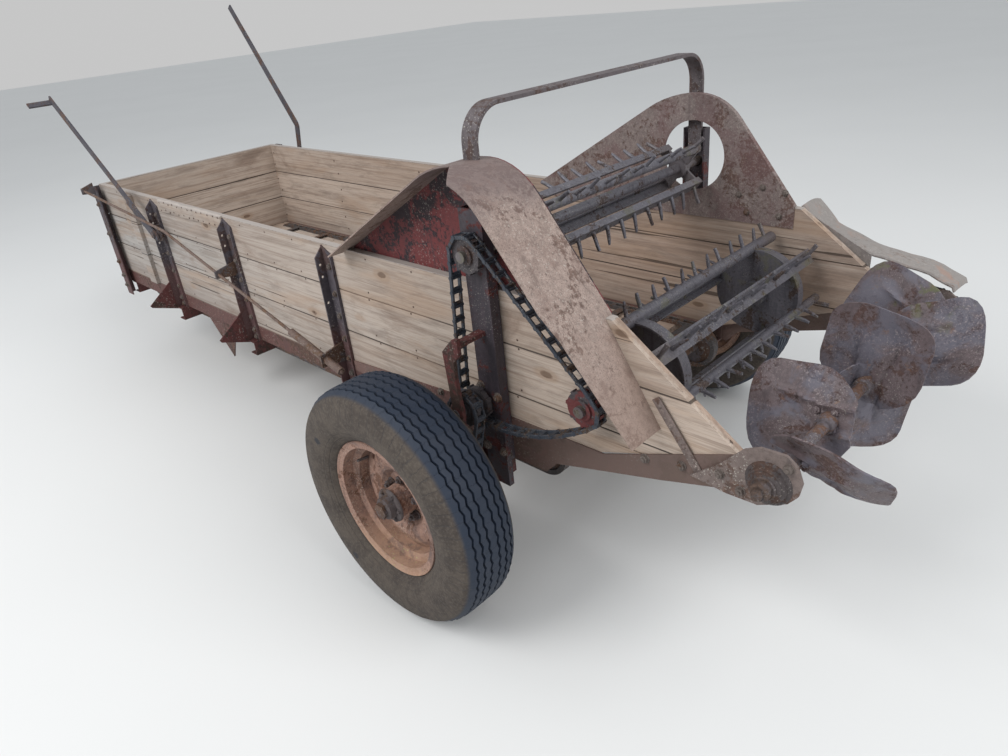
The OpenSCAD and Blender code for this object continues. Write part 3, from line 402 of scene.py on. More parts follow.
sill_red = old_paint("dull_red_sill", paint=(0.12, 0.048, 0.041), rust=(0.115, 0.06, 0.042),
                     dark=(0.04, 0.03, 0.028), pale=0.35, extra=sill_dirt)
frame_red = old_paint("dull_red_frame", paint=(0.105, 0.027, 0.025), rust=(0.075, 0.04, 0.03),
                      dark=(0.025, 0.02, 0.022), pale=0.3)


def stake_tones(place, colour):
    low = (place.axis("Z") + place.noise(14.0) * 0.14).rise(0.72, 0.60)
    return (low * 0.7).tint(colour, (0.115, 0.05, 0.045))


stake_steel = old_paint("stake_steel", paint=(0.085, 0.072, 0.085), rust=(0.10, 0.06, 0.055),
                        dark=(0.03, 0.028, 0.036), wear=0.6, pale=0.45, extra=stake_tones)
dark_steel = old_paint("dark_rusted_steel", paint=(0.095, 0.08, 0.085), rust=(0.13, 0.07, 0.045),
                       dark=(0.03, 0.026, 0.028), wear=0.7, pale=0.4)
dress(sill_red, "sill_left", "sill_right")
post_steel = old_paint("post_steel", paint=(0.055, 0.042, 0.052), rust=(0.15, 0.035, 0.03),
                       dark=(0.02, 0.018, 0.024), wear=0.42, pale=0.3, scale=1.4, rough=0.6)
dress(post_steel, "post_left", "post_right")
dress(frame_red, "cross_members", "drawbar", "axle_bracket_left", "axle_bracket_right", "chain_bracket")
dress(stake_steel, "stakes_left", "stakes_right")
dress(dark_steel, "hitch_clevis", "axle", "apron_shafts", "parking_leg", "lever_brackets")

# Square-necked coach bolts go through planks and stakes, with washers and nuts on the outside.
# Hexagon bolts hold the posts, the axle brackets, the bearing flanges and the guards.
bolt_finish = old_paint("bolt_steel", paint=(0.15, 0.12, 0.105), rust=(0.17, 0.09, 0.055),
                        dark=(0.04, 0.033, 0.03), pale=0.3, scale=2.0)


def bolt(mesh, centre, axis, flats=0.018, thick=0.008, turn=0.0):
    """A hexagon head or nut on a round washer, with the end of its thread showing."""
    axis = Vector(axis)
    disc(mesh, centre, axis, flats * 0.72, 0.0018, 14)
    head = disc(mesh, centre + axis * 0.0018, axis, flats / 1.732, thick, 6, flats / 1.732 * 0.97, 0.0011)
    bmesh.ops.rotate(mesh, cent=centre, matrix=Matrix.Rotation(turn, 3, axis), verts=head)
    disc(mesh, centre + axis * (thick + 0.0016), axis, flats * 0.27, thick * 0.45, 8)


stake_web, corner_web, post_web, bracket_web, arm_web, plate_inside = 505, 536, 538, 519, 513, 470.5
bolts = bmesh.new()
for side in (1, -1):
    for x in stakes_x[1:]:
        for z in (128, 205, 290, 372, 470):
            bolt(bolts, at(x - 6, side * stake_web, z), (0, side, 0), 0.017, 0.007, x + z)
        for z in (40, 72):
            bolt(bolts, at(x - 8, side * stake_web, z), (0, side, 0), 0.019, 0.009, z)
    for z in (20, 74, 150, 300, 452):
        bolt(bolts, at(stakes_x[0], side * corner_web, z), (0, side, 0), 0.019, 0.009, z)
    for x, z in ((-142, 60), (-78, 60), (-142, 240), (-78, 260)):
        bolt(bolts, at(x, side * post_web, z), (0, side, 0), 0.02, 0.009, x)
    for x, z in ((-40, 52), (20, 54), (-140, 44), (-132, -2)):
        bolt(bolts, at(x, side * bracket_web, z), (0, side, 0), 0.02, 0.009, x)
    for x, z in ((150, 150), (-330, 175), (-600, 205), (-700, 225), (-560, 250)):
        bolt(bolts, at(x, side * stake_web, z), (0, side, 0), 0.018, 0.008, x + 2)
    for x, z in ((-950, 325), (-800, 250), (-850, 226)):
        bolt(bolts, at(x, side * arm_web, z), (0, side, 0), 0.017, 0.008, x)
    for y in (150, 330):
        bolt(bolts, at(2717, side * y, -5), (1, 0, 0), 0.022, 0.01, y)
    for x in (420, 300, 200):
        bolt(bolts, at(x, side * plate_inside, 520), (0, -side, 0), 0.015, 0.006, x)
    for x in (-330, -440):
        bolt(bolts, at(x, side * plate_inside, 515), (0, -side, 0), 0.015, 0.006, x)
for x in (3120, 3575):
    for side in (1, -1):
        bolt(bolts, at(x, side * 60, 25), (0, 0, 1), 0.02, 0.009, x)
fitted("frame_bolts", bolts, bolt_finish, "frame")


# The tyres: ribbed implement tyres with zigzag grooves in the tread and bare round sidewalls.
# The rubber has gone brown-grey with dried soil, and the tread stays dark where it rolls; its blue tint is
# a painted reflection of the sky.
half_track = 810
tyre_finish, tyre_shader, tyre_place = surface("dusty_rubber", 0.82)
across = abs(abs(tyre_place.axis("Y")) - half_track / 1000)
wheel_x, wheel_z = tyre_place.axis("X") - axle_x / 1000, tyre_place.axis("Z") - axle_z / 1000
out = wheel_x.maths("SQRT", wheel_x * wheel_x + wheel_z * wheel_z)
angle = wheel_x.maths("ARCTAN2", wheel_z, wheel_x)
soil = tyre_place.noise(16.0, 6.0, 0.65, 0.4)
dust = tyre_place.noise(130.0, 4.0, 0.65, 0.0, (3, 3, 3))
tread = (out + across * -0.12).rise(0.333, 0.3425)
colour = soil.rise(0.35, 0.65).tint((0.080, 0.064, 0.052), (0.046, 0.036, 0.031))
colour = (dust.rise(0.45, 0.65) * 0.4).tint(colour, (0.13, 0.11, 0.09))
# Tread colour: dark where the tyre rolls, with a blue tint that is a painted reflection of the sky.
tread_dark_and_sky_blue = soil.rise(0.4, 0.7).tint((0.009, 0.019, 0.040), (0.017, 0.026, 0.046))
colour = (tread * 0.96).tint(colour, tread_dark_and_sky_blue)
ripple = out.maths("SINE", out * 420.0).rise(0.75, 1.0)
rings = ripple * out.rise(0.20, 0.225) * out.rise(0.262, 0.24)
colour = (rings * 0.35).tint(colour, (0.07, 0.06, 0.055))
cracks = angle.maths("SINE", angle * 64.0 + soil * 8.0).rise(0.93, 1.0) * out.rise(0.27, 0.3)
colour = (cracks * (1 - tread) * 0.5).tint(colour, (0.05, 0.045, 0.045))
for nick_x, nick_z in ((0.228, 0.152), (0.165, -0.236)):
    dx, dz = wheel_x - nick_x, wheel_z - nick_z
    far = out.maths("SQRT", dx * dx + dz * dz)
    colour = (far + dust * 0.012).rise(0.022, 0.014).tint(colour, (0.03, 0.03, 0.035))
give(tyre_shader, Base_Color=colour, Roughness=0.92 - tread * 0.25,
     height=(soil * 0.6 + dust * 0.4 - cracks * 0.6 - rings * 0.7, 0.0016))

tread_side = [(0, 362), (11, 362), (12.5, 354), (17, 354), (18.5, 362), (35, 361.8), (36.5, 353.5),
              (41, 353.3), (42.5, 361.5), (57, 359.6), (58.5, 351.5), (62, 351), (63.5, 358)]
shoulder = [(74, 352), (83, 346), (88, 341), (91, 336), (94, 318), (99, 300), (100, 288), (98, 268)]
bead = [(96, 252), (90, 236), (82, 224), (74, 216), (70, 212), (66, 210), (64, 206), (64, 192.3)]
inside_wall = [(44, 192.3), (58, 222), (80, 262), (84, 300), (60, 338)]
ring = tread_side + shoulder + bead + inside_wall
loop = ring + [(0, 344)] + [(-y, r) for y, r in reversed(ring[1:])]
steps, zigzag = 132, 0.0028
for side, label in ((1, "left"), (-1, "right")):
    tyre = bmesh.new()
    hub = at(0, side * half_track, 0)
    corners = [tyre.verts.new(at(0, side * half_track + y, r)) for y, r in loop]
    edges = [tyre.edges.new((corners[i], corners[(i + 1) % len(corners)])) for i in range(len(corners))]
    bmesh.ops.spin(tyre, geom=corners + edges, cent=hub, axis=(0, 1, 0), angle=2 * pi, steps=steps,
                   use_merge=True, use_duplicate=False)
    for v in tyre.verts:
        y, r = abs(v.co.y) * 1000 - half_track, hypot(v.co.x - hub.x, v.co.z - hub.z) * 1000
        if abs(y) < 64 and r > 345:
            step = round(atan2(v.co.z - hub.z, v.co.x - hub.x) / (2 * pi) * steps)
            v.co.y += side * (zigzag if step % 2 else -zigzag)
    ribbed = fitted("tyre_" + label + "_ribbed", tyre, tyre_finish, "wheel_" + label, 30)
    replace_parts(ribbed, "tyre_" + label)


# The wheels: pressed steel discs with four long slots, welded into 15 inch rims.
# Their paint has nearly gone: orange-brown rust on top, darker in the dish, pale with dust low down.
def rim_tones(place, colour):
    low = (place.axis("Z") + place.noise(18.0) * 0.05).rise(0.30, 0.20)
    colour = (low * 0.75).tint(colour, (0.40, 0.245, 0.165))
    lichen = place.spots(95.0) + place.noise(30.0) * 0.5
    colour = (lichen.rise(0.42, 0.34) * low * 0.8).tint(colour, (0.42, 0.42, 0.16))
    inner = place.noise(22.0, 5.0, 0.6, 0.0, (5, 0, 1)).rise(0.52, 0.62)
    return (inner * 0.45).tint(colour, (0.085, 0.06, 0.06))


rim_rust = old_paint("rusted_rim", paint=(0.34, 0.20, 0.15), rust=(0.25, 0.125, 0.08),
                     dark=(0.09, 0.06, 0.055), pale=0.5, scale=1.6, extra=rim_tones)
dress(rim_rust, "rim_left", "rim_right")
hub_iron = old_paint("hub_iron", paint=(0.10, 0.08, 0.08), rust=(0.12, 0.075, 0.055),
                     dark=(0.03, 0.026, 0.03), wear=0.4, pale=0.4, scale=1.5)
lug_circle, cap_circle = 62, 43
for side, label in ((1, "left"), (-1, "right")):
    hub = bmesh.new()
    for i in range(5):
        a = radians(72 * i + 20)
        seat = at(lug_circle * cos(a), side * (half_track - 12), lug_circle * sin(a))
        disc(hub, seat, (0, side, 0), 0.0145, 0.004, 20, 0.012)
        bolt(hub, seat + Vector((0, side * 0.003, 0)), (0, side, 0), 0.022, 0.016, i)
    disc(hub, at(0, side * (half_track + 43), 0), (0, side, 0), 0.052, 0.007, 32, 0.050, 0.002)
    disc(hub, at(0, side * (half_track + 49), 0), (0, side, 0), 0.036, 0.024, 28, 0.031, 0.004)
    for i in range(6):
        a = radians(60 * i)
        seat = at(cap_circle * cos(a), side * (half_track + 50), cap_circle * sin(a))
        bolt(hub, seat, (0, side, 0), 0.010, 0.004, i)
    disc(hub, at(120, side * (half_track + 12), 96), (0.1, side, 0.08), 0.0042, 0.036, 10)
    fitted("hub_fittings_" + label, hub, hub_iron, "wheel_" + label)


# The arch: two cut steel plates over the upper beater, the right one with a round opening.
# On the left a wide strap of bent plate shields the chain. A forged flat bar ties both sides.
def plate_tones(place, colour):
    purple = place.noise(9.0, 6.0, 0.7, 0.5, (2, 2, 8)).rise(0.42, 0.60)
    colour = (purple * 0.6).tint(colour, (0.15, 0.085, 0.085))
    pale = place.noise(190.0, 3.0, 0.75, 0.0, (6, 6, 6)).rise(0.54, 0.62)
    return (pale * 0.3).tint(colour, (0.44, 0.38, 0.35))


right_plate = old_paint("rusted_right_plate", paint=(0.24, 0.19, 0.175), rust=(0.17, 0.10, 0.08),
                        dark=(0.09, 0.06, 0.06), wear=0.45, pale=0.35, scale=1.3,
                        extra=plate_tones, gritty=0.6)
left_plate = old_paint("dark_red_left_plate", paint=(0.155, 0.025, 0.026), rust=(0.045, 0.03, 0.036),
                       dark=(0.025, 0.018, 0.024), wear=0.62, pale=0.3, scale=1.3)
dress(right_plate, "arch_plate_right")
dress(left_plate, "arch_plate_left")


def strap_tones(place, colour):
    top = (place.axis("Z") + place.noise(7.0, 5.0, 0.6) * 0.16).rise(1.20, 1.30)
    colour = (top * 0.8).tint(colour, (0.155, 0.115, 0.11))
    rear = (place.axis("X") + place.noise(11.0) * 0.2).rise(-1.85, -2.0)
    colour = (rear * 0.5).tint(colour, (0.30, 0.215, 0.175))
    cloudy = place.noise(12.0, 6.0, 0.7, 0.7, (8, 1, 1)).rise(0.52, 0.66)
    return (cloudy * 0.35).tint(colour, (0.17, 0.10, 0.08))


strap_steel = old_paint("worn_strap_plate", paint=(0.365, 0.275, 0.235), rust=(0.25, 0.165, 0.135),
                        dark=(0.13, 0.085, 0.07), wear=0.36, pale=0.35, scale=1.2, rough=0.62,
                        extra=strap_tones, gritty=0.75)
dress(strap_steel, "chain_guard_left")
bar_steel = old_paint("forged_bar", paint=(0.12, 0.10, 0.105), rust=(0.12, 0.075, 0.065),
                      dark=(0.06, 0.05, 0.055), wear=0.45, pale=0.5, scale=1.4)
dress(bar_steel, "arch_bar")


def guard_tones(place, colour):
    top = (place.axis("Y") + place.noise(20.0) * 0.006).rise(-0.512, -0.516)
    colour = (top * 0.4).tint(colour, (0.33, 0.305, 0.285))
    stain = place.noise((14, 14, 5), 6.0, 0.7, 0.6, (3, 9, 1)).rise(0.54, 0.68)
    return (stain * 0.6).tint(colour, (0.33, 0.20, 0.15))


guard_steel = old_paint("pale_guard_plate", paint=(0.235, 0.21, 0.198), rust=(0.21, 0.145, 0.115),
                        dark=(0.20, 0.135, 0.11), wear=0.22, pale=0.4, scale=1.1, rough=0.6,
                        extra=guard_tones)
bearing_steel = old_paint("bearing_plate_steel", paint=(0.19, 0.145, 0.13), rust=(0.17, 0.10, 0.075),
                          dark=(0.06, 0.05, 0.05), pale=0.5, scale=1.2)
dress(bearing_steel, "bearing_plate_left", "bearing_plate_right")
cast_iron = old_paint("cast_iron", paint=(0.075, 0.06, 0.06), rust=(0.10, 0.055, 0.04),
                      dark=(0.025, 0.02, 0.022), wear=0.4, pale=0.3, scale=1.5)
dress(cast_iron, "beater_bearings")


def sprocket_tones(place, colour):
    rearmost = place.axis("X").rise(-1.80, -1.84)
    return (place.noise(30.0, 4.0).rise(0.40, 0.5) * rearmost).tint(colour, (0.115, 0.026, 0.026))


sprocket_iron = old_paint("sprocket_iron", paint=(0.065, 0.055, 0.06), rust=(0.09, 0.05, 0.04),
                          dark=(0.025, 0.02, 0.022), wear=0.4, pale=0.3, scale=1.8, extra=sprocket_tones)
dress(sprocket_iron, "sprockets")


# The right rear guard: one bent steel sheet over a flat web that is bolted to the arm.
# Its top is wide, dented and drooping along its free edge.
def only(kind, geometry):
    """The vertices or the faces among what an operator made."""
    return [g for g in geometry if isinstance(g, kind)]


guard = bmesh.new()
guard_side, strip = 505, 0.0155
fold = [(-497, 549), (-563, 478), (-640, 452), (-728, 424), (-885, 393), (-950, 365), (-956, 350)]
corners = [guard.verts.new(at(x, -guard_side, z)) for x, z in fold]
edges = [guard.edges.new(pair) for pair in zip(corners, corners[1:])]
bmesh.ops.subdivide_edges(guard, edges=edges, cuts=4)
for step in range(9):
    loose = [e for e in guard.edges if len(e.link_faces) < 2
             and all(abs(v.co.y + guard_side / 1000 + step * strip) < 0.001 for v in e.verts)]
    grown = bmesh.ops.extrude_edge_only(guard, edges=loose)["geom"]
    bmesh.ops.translate(guard, vec=(0, -strip, 0), verts=only(bmesh.types.BMVert, grown))
for v in guard.verts:
    out_by = (-guard_side / 1000 - v.co.y) / 0.14
    dents = 0.0035 * out_by * sin(v.co.x * 21) + 0.0015 * sin(v.co.x * 61 + out_by * 5)
    v.co.z += dents - 0.016 * out_by ** 3
bmesh.ops.recalc_face_normals(guard, faces=guard.faces)
bmesh.ops.solidify(guard, geom=guard.faces[:], thickness=0.004)
web = bmesh.ops.create_grid(guard, x_segments=1, y_segments=1, size=0.5)["verts"]
foot = ((-721, 302), (-513, 174), (-721, 424), (-513, 531))
for v in web:
    x, z = foot[(1 if v.co.x > 0 else 0) + (2 if v.co.y > 0 else 0)]
    v.co = at(x, -guard_side - 2, z)
guard.normal_update()
web_face = list({f for v in web for f in v.link_faces})
bmesh.ops.solidify(guard, geom=web_face, thickness=0.004)
for x, z in ((-540, 260), (-690, 330), (-560, 420), (-690, 390)):
    bolt(guard, at(x, -509.5, z), (0, -1, 0), 0.018, 0.008, x)
sheet = fitted("rear_guard_sheet", guard, guard_steel, "frame", 20)
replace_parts(sheet, "distributor_guard")

# A flat steel stay runs down to the arm on each side, riveted through the rear planks.
# The flange of each distributor bearing is a cast ring with a raised boss and a collar.
stays = bmesh.new()
stay_side, stay_x, stay_z, stay_slope = 507, -689, 302, radians(-53.5)
for side in (1, -1):
    stay = bar(stays, (-100, side * stay_side - 2, -11), (100, side * stay_side + 2, 11), 0.0012)
    turn = Matrix.Rotation(stay_slope, 4, "Y") @ Matrix.Translation(-at(0, side * stay_side, 0))
    place = Matrix.Translation(at(stay_x, side * stay_side, stay_z))
    bmesh.ops.transform(stays, matrix=place @ turn, verts=stay)
    for along in (-80, -28, 28, 80):
        rivet = at(stay_x - along * 0.595, side * (stay_side + 2), stay_z - along * 0.804)
        disc(stays, rivet, (0, side, 0), 0.006, 0.004, 10, 0.0035)
fitted("rear_stays", stays, bearing_steel, "frame")
distributor_x, distributor_z = -910, 272
flange, boss = (512.5, 0.053, 0.005, 0.050), (517, 0.044, 0.013, 0.041)
collar = (530, 0.0375, 0.0035, 0.0365)
rings = bmesh.new()
for side in (1, -1):
    for y, radius, thick, top in (flange, boss, collar):
        seat = at(distributor_x, side * y, distributor_z)
        disc(rings, seat, (0, side, 0), radius, thick, 40, top, 0.0015)
fitted("distributor_flange_rings", rings, cast_iron, "frame")

# Hexagon bolts hold the feet of both arch plates to the top planks.
# Their heads are inside the box, where the load can't catch on the nuts.
plate_bolts = bmesh.new()
for x, z in ((-380, 600), (-455, 590), (-300, 570), (430, 560), (300, 580)):
    bolt(plate_bolts, at(x, -470.8, z), (0, 1, 0), 0.015, 0.006, x)
    bolt(plate_bolts, at(x * 0.9, 470.8, z - 20), (0, -1, 0), 0.015, 0.006, x)
fitted("arch_bolts", plate_bolts, bolt_finish, "frame")


# The beaters: shafts that carry bars with rows of forged teeth, which tear the load apart.
# The steel is polished by the load and has rusted since, grey-blue on the bars and brown at the ends; the
# upper beater's lighter steel is a painted sheen.
def beater_tones(place, colour):
    ends = abs(place.axis("Y")).rise(0.28, 0.46)
    colour = (ends * 0.35).tint(colour, (0.15, 0.105, 0.08))
    moss = place.noise(15.0, 5.0, 0.6, 0.5, (4, 7, 2)).rise(0.56, 0.68)
    return (moss * 0.5).tint(colour, (0.13, 0.125, 0.07))


# The upper beater's steel is painted lighter than the main beater's, as a painted sheen.
upper_steel_painted_sheen = old_paint("upper_beater_steel_painted_sheen", paint=(0.17, 0.165, 0.19), rust=(0.13, 0.095, 0.085),
                        dark=(0.05, 0.045, 0.055), wear=0.3, pale=0.4, scale=2.2, rough=0.5,
                        metal=0.35, extra=beater_tones)
main_steel = old_paint("main_beater_steel", paint=(0.125, 0.12, 0.14), rust=(0.11, 0.075, 0.065),
                       dark=(0.045, 0.04, 0.048), wear=0.32, pale=0.4, scale=2.2, rough=0.5,
                       metal=0.35, extra=beater_tones)
dress(upper_steel_painted_sheen, "upper_beater")
dress(main_steel, "main_beater")

# The teeth are forged steel pegs, driven into the bars in rows.
# Each is round at the root, drawn down to a blunt point and bent back a little.
upper_x, upper_z = -110, 652
main_x, main_z = -465, 325


def teeth_on(name, centre, rows, count, finish, body):
    """Pegs along the bars: rows are (turn of the bar, lean of its pegs, radius of their roots)."""
    pegs = bmesh.new()
    row_end, peg_r, draw = 403, 0.0068, 0.0116
    for turn_of, lean, radius in rows:
        for i in range(count):
            y = -row_end + i * 2 * row_end / (count - 1)
            peg = bmesh.new()
            ring = bmesh.ops.create_circle(peg, segments=10, radius=peg_r, cap_ends=True)["verts"]
            face = list({f for v in ring for f in v.link_faces})
            for k in range(5):
                done = bmesh.ops.extrude_face_region(peg, geom=face)["geom"]
                moved = only(bmesh.types.BMVert, done)
                bmesh.ops.translate(peg, vec=(0, 0, draw), verts=moved)
                middle = sum((v.co for v in moved), Vector()) / len(moved)
                bmesh.ops.scale(peg, vec=(0.93, 0.93, 1) if k < 4 else (0.62, 0.62, 1), verts=moved,
                                space=Matrix.Translation(-middle))
                if k:
                    bmesh.ops.delete(peg, geom=face, context="FACES_ONLY")
                face = only(bmesh.types.BMFace, done)
            for v in peg.verts:
                v.co.x -= v.co.z ** 2 * 1.6
            tip = Matrix.Rotation(radians(90 - lean - (i % 2) * 9 + 3 * sin(i * 5)), 4, "Y")
            spin = Matrix.Rotation(radians(turn_of), 4, "Y")
            seat = spin @ Matrix.Translation((radius / 1000, 0, 0))
            place = Matrix.Translation(at(centre[0], y, centre[1])) @ seat
            bmesh.ops.transform(peg, matrix=place @ tip, verts=peg.verts)
            block = bpy.data.meshes.new("peg")
            peg.to_mesh(block)
            pegs.from_mesh(block)
            peg.free()
            bpy.data.meshes.remove(block)
    return fitted(name, pegs, finish, body, 40)


per_bar = 13
upper_rows = [(-40 - 90 * i, lean, 82) for i, lean in enumerate((-22, 4, 26, 10))]
main_rows = [(-77 - 60 * i, -16, 134) for i in range(6)]
teeth_on("upper_beater_teeth", (upper_x, upper_z), upper_rows, per_bar, upper_steel_painted_sheen, "upper_beater_rotor")
teeth_on("main_beater_teeth", (main_x, main_z), main_rows, per_bar, main_steel, "main_beater_rotor")


# The distributor: a slow shaft of rough pipe with six dished paddles of pressed plate.
# Each paddle has creases pressed round its shaft clamp; the plate is rusted purple, with moss and lichen,
# and bluish patches that are a painted reflection of the sky.
def paddle_tones(place, colour):
    # Bluish patches: a painted reflection of the sky.
    blue = place.noise(10.0, 5.0, 0.6, 0.6, (5, 5, 5)).rise(0.45, 0.60)
    colour = (blue * 0.65).tint(colour, (0.13, 0.132, 0.17))
    specks = place.noise(170.0, 3.0, 0.75, 0.0, (1, 2, 3)).rise(0.56, 0.63)
    lit = place.noise(8.0, 4.0, 0.5, 0.2, (2, 8, 6)).rise(0.45, 0.60)
    colour = (specks * lit * 0.55).tint(colour, (0.36, 0.30, 0.30))
    moss = (place.axis("Y") + place.noise(12.0, 5.0) * 0.5).rise(0.02, -0.12)
    patch = place.noise(13.0, 6.0, 0.65, 0.5, (9, 9, 2)).rise(0.53, 0.64)
    colour = (patch * moss * 0.75).tint(colour, (0.115, 0.125, 0.05))
    orange = place.noise(20.0, 5.0, 0.7, 0.5, (7, 1, 4)).rise(0.62, 0.72)
    return (orange * 0.5).tint(colour, (0.22, 0.11, 0.055))


paddle_steel = old_paint("rusted_paddle_plate", paint=(0.135, 0.10, 0.105), rust=(0.125, 0.07, 0.06),
                         dark=(0.04, 0.03, 0.034), pale=0.3, scale=1.8, rough=0.62, extra=paddle_tones)
paddles = ((0.82, 198, -50), (0.442, -6, -70), (-0.03, 98, 87),
           (-0.03, 278, 41), (-0.505, 160, 41), (-0.8, 24, -82))
half_long, half_wide, set_off, plate_thick = 0.130, 0.125, 0.075, 0.004
dish, crease, crease_wide = 0.84, 0.0095, 0.011
root = ((-0.055, 0.052), (-0.036, 0.080), (-0.010, 0.105), (0.020, 0.120), (0.050, 0.125))
tip_edge = ((0.145, 0.125), (0.166, 0.121), (0.183, 0.110), (0.195, 0.092), (0.202, 0.068), (0.205, 0.040))
shaft = bmesh.new()
for number, (reach, lean, twist) in enumerate(paddles, 1):
    plate = bmesh.new()
    bmesh.ops.create_grid(plate, x_segments=44, y_segments=44, size=1.0)
    bmesh.ops.scale(plate, vec=(half_long, half_wide, 1), verts=plate.verts)
    bmesh.ops.translate(plate, vec=(set_off, 0, 0), verts=plate.verts)
    for (x0, y0), (x1, y1) in list(zip(root, root[1:])) + list(zip(tip_edge, tip_edge[1:])):
        for s in (1, -1):
            away = Vector((-(y1 - y0), x1 - x0, 0))
            away.y *= s
            bmesh.ops.bisect_plane(plate, geom=plate.verts[:] + plate.edges[:] + plate.faces[:],
                                   plane_co=(x0, s * y0, 0), plane_no=away, clear_outer=True)
    for v in plate.verts:
        x, y = v.co.x, v.co.y
        v.co.z = -y * y / dish
        dent = max(0.0, 1 - abs(abs(y) - 0.032 - max(0.0, x) * 0.16) / crease_wide)
        v.co.z += crease * dent * max(0.0, min(1.0, (0.155 - x) / 0.05))
        v.co.z += 0.0028 * sin(x * 41 + reach * 9) * sin(y * 37 + lean)
        v.co.z -= 0.006 * max(0.0, 1 - hypot(x - 0.09, y) / 0.05)
        curl = 0.03 if number == 1 else 0.005
        v.co.z -= curl * max(0.0, (x - 0.10) / 0.105) ** 2
    bmesh.ops.solidify(plate, geom=plate.faces[:], thickness=plate_thick)
    bmesh.ops.translate(plate, vec=(0, 0, plate_thick / 2), verts=plate.verts)
    for s in (1, -1):
        for x in (0.030, -0.012):
            bolt(plate, Vector((x, s * 0.020, 0.0015)), (0, 0, 1), 0.016, 0.008, x)
    turn = Matrix.Rotation(radians(-lean), 4, "Y") @ Matrix.Rotation(radians(twist), 4, "X")
    clamp_y = reach * inner_side
    place = Matrix.Translation(at(distributor_x, clamp_y, distributor_z))
    bmesh.ops.transform(plate, matrix=place @ turn, verts=plate.verts)
    fitted("paddle_%d" % number, plate, paddle_steel, "distributor_rotor", 30)
    disc(shaft, at(distributor_x, clamp_y - 34, distributor_z), (0, 1, 0), 0.022, 0.068, 20, ease=0.003)
pipe_sides, pipe_r, pipe_long, pipe_steps = 20, 0.015, 1.126, 75
pipe = bmesh.ops.create_circle(shaft, segments=pipe_sides, radius=pipe_r, cap_ends=True)["verts"]
place = Matrix.Translation(at(distributor_x, -586, distributor_z)) @ Matrix.Rotation(-pi / 2, 4, "X")
bmesh.ops.transform(shaft, matrix=place, verts=pipe)
end_face = [f for f in shaft.faces if len(f.verts) == pipe_sides and all(v in set(pipe) for v in f.verts)]
for k in range(pipe_steps):
    done = bmesh.ops.extrude_face_region(shaft, geom=end_face)["geom"]
    bmesh.ops.translate(shaft, vec=(0, pipe_long / pipe_steps, 0), verts=only(bmesh.types.BMVert, done))
    if k:
        bmesh.ops.delete(shaft, geom=end_face, context="FACES_ONLY")
    end_face = only(bmesh.types.BMFace, done)
middle = at(distributor_x, 0, distributor_z)
for v in shaft.verts:
    off = Vector((v.co.x - middle.x, 0, v.co.z - middle.z))
    if 0.8 * pipe_r < off.length < 1.2 * pipe_r:
        lumps = 0.07 * sin(v.co.y * 160 + atan2(off.z, off.x) * 2) * sin(v.co.y * 61)
        rough = 1 + lumps + 0.03 * sin(v.co.y * 420)
        v.co.x, v.co.z = middle.x + off.x * rough, middle.z + off.z * rough
end_nut = bmesh.new()
for y, width, thick, sides in ((534, 0.056, 0.004, 24), (538, 0.044, 0.020, 6), (558, 0.024, 0.014, 12)):
    disc(end_nut, at(distributor_x, y, distributor_z), (0, 1, 0), width / 2, thick, sides, ease=0.0025)
fitted("distributor_end_nut", end_nut, hub_iron, "distributor_rotor")
pipe_steel = old_paint("rough_pipe", paint=(0.12, 0.10, 0.11), rust=(0.17, 0.09, 0.06),
                       dark=(0.045, 0.036, 0.04), wear=0.6, pale=0.5, scale=2.2)
pipe_piece = fitted("distributor_pipe", shaft, pipe_steel, "distributor_rotor", 50)
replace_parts(pipe_piece, "distributor")


# The drives: steel link chains, each link two side bars joined by a barrel and hooked to the next.
# The chain is oiled and dirty: blue-black bars, with brown rust where the hooks rub.
chain_steel = old_paint("chain_steel", paint=(0.05, 0.06, 0.08), rust=(0.11, 0.07, 0.05),
                        dark=(0.02, 0.02, 0.025), wear=0.4, pale=0.35, scale=2.4, rough=0.55, metal=0.2)


def chain_path(circles, sag, pitch=41):
    """Hinge points of a closed chain round circles (x, z, radius), in millimetres from the axle.

    The run that ends at the first circle sags in its middle.
    """
    count = len(circles)

    def lean_of(p, q):
        return atan2(q[1] - p[1], q[0] - p[0]) - acos((p[2] - q[2]) / hypot(q[0] - p[0], q[1] - p[1]))

    runs = []
    for i in range(count):
        p, q, r = circles[i - 1], circles[i], circles[(i + 1) % count]
        a0, a1 = lean_of(p, q), lean_of(q, r)
        start = (p[0] + p[2] * cos(a0), p[1] + p[2] * sin(a0))
        end = (q[0] + q[2] * cos(a0), q[1] + q[2] * sin(a0))
        swing = (a1 - a0) % (2 * pi)
        runs.append((start, end, q, a0, swing, q[2] * swing, hypot(end[0] - start[0], end[1] - start[1])))
    whole = sum(r[5] + r[6] for r in runs)
    links = floor(whole / pitch)
    points = []
    for k in range(links):
        left = whole / links * k
        for i, (start, end, q, a0, swing, curve, straight) in enumerate(runs):
            if left <= straight:
                t = left / straight
                drop = (sag if i == 0 else 0) * 4 * t * (1 - t)
                x, z = start[0] + t * (end[0] - start[0]), start[1] + t * (end[1] - start[1])
                points.append((x, z - drop))
                break
            left -= straight
            if left <= curve or i == len(runs) - 1:
                a = a0 + swing * left / curve
                points.append((q[0] + q[2] * cos(a), q[1] + q[2] * sin(a)))
                break
            left -= curve
    return points


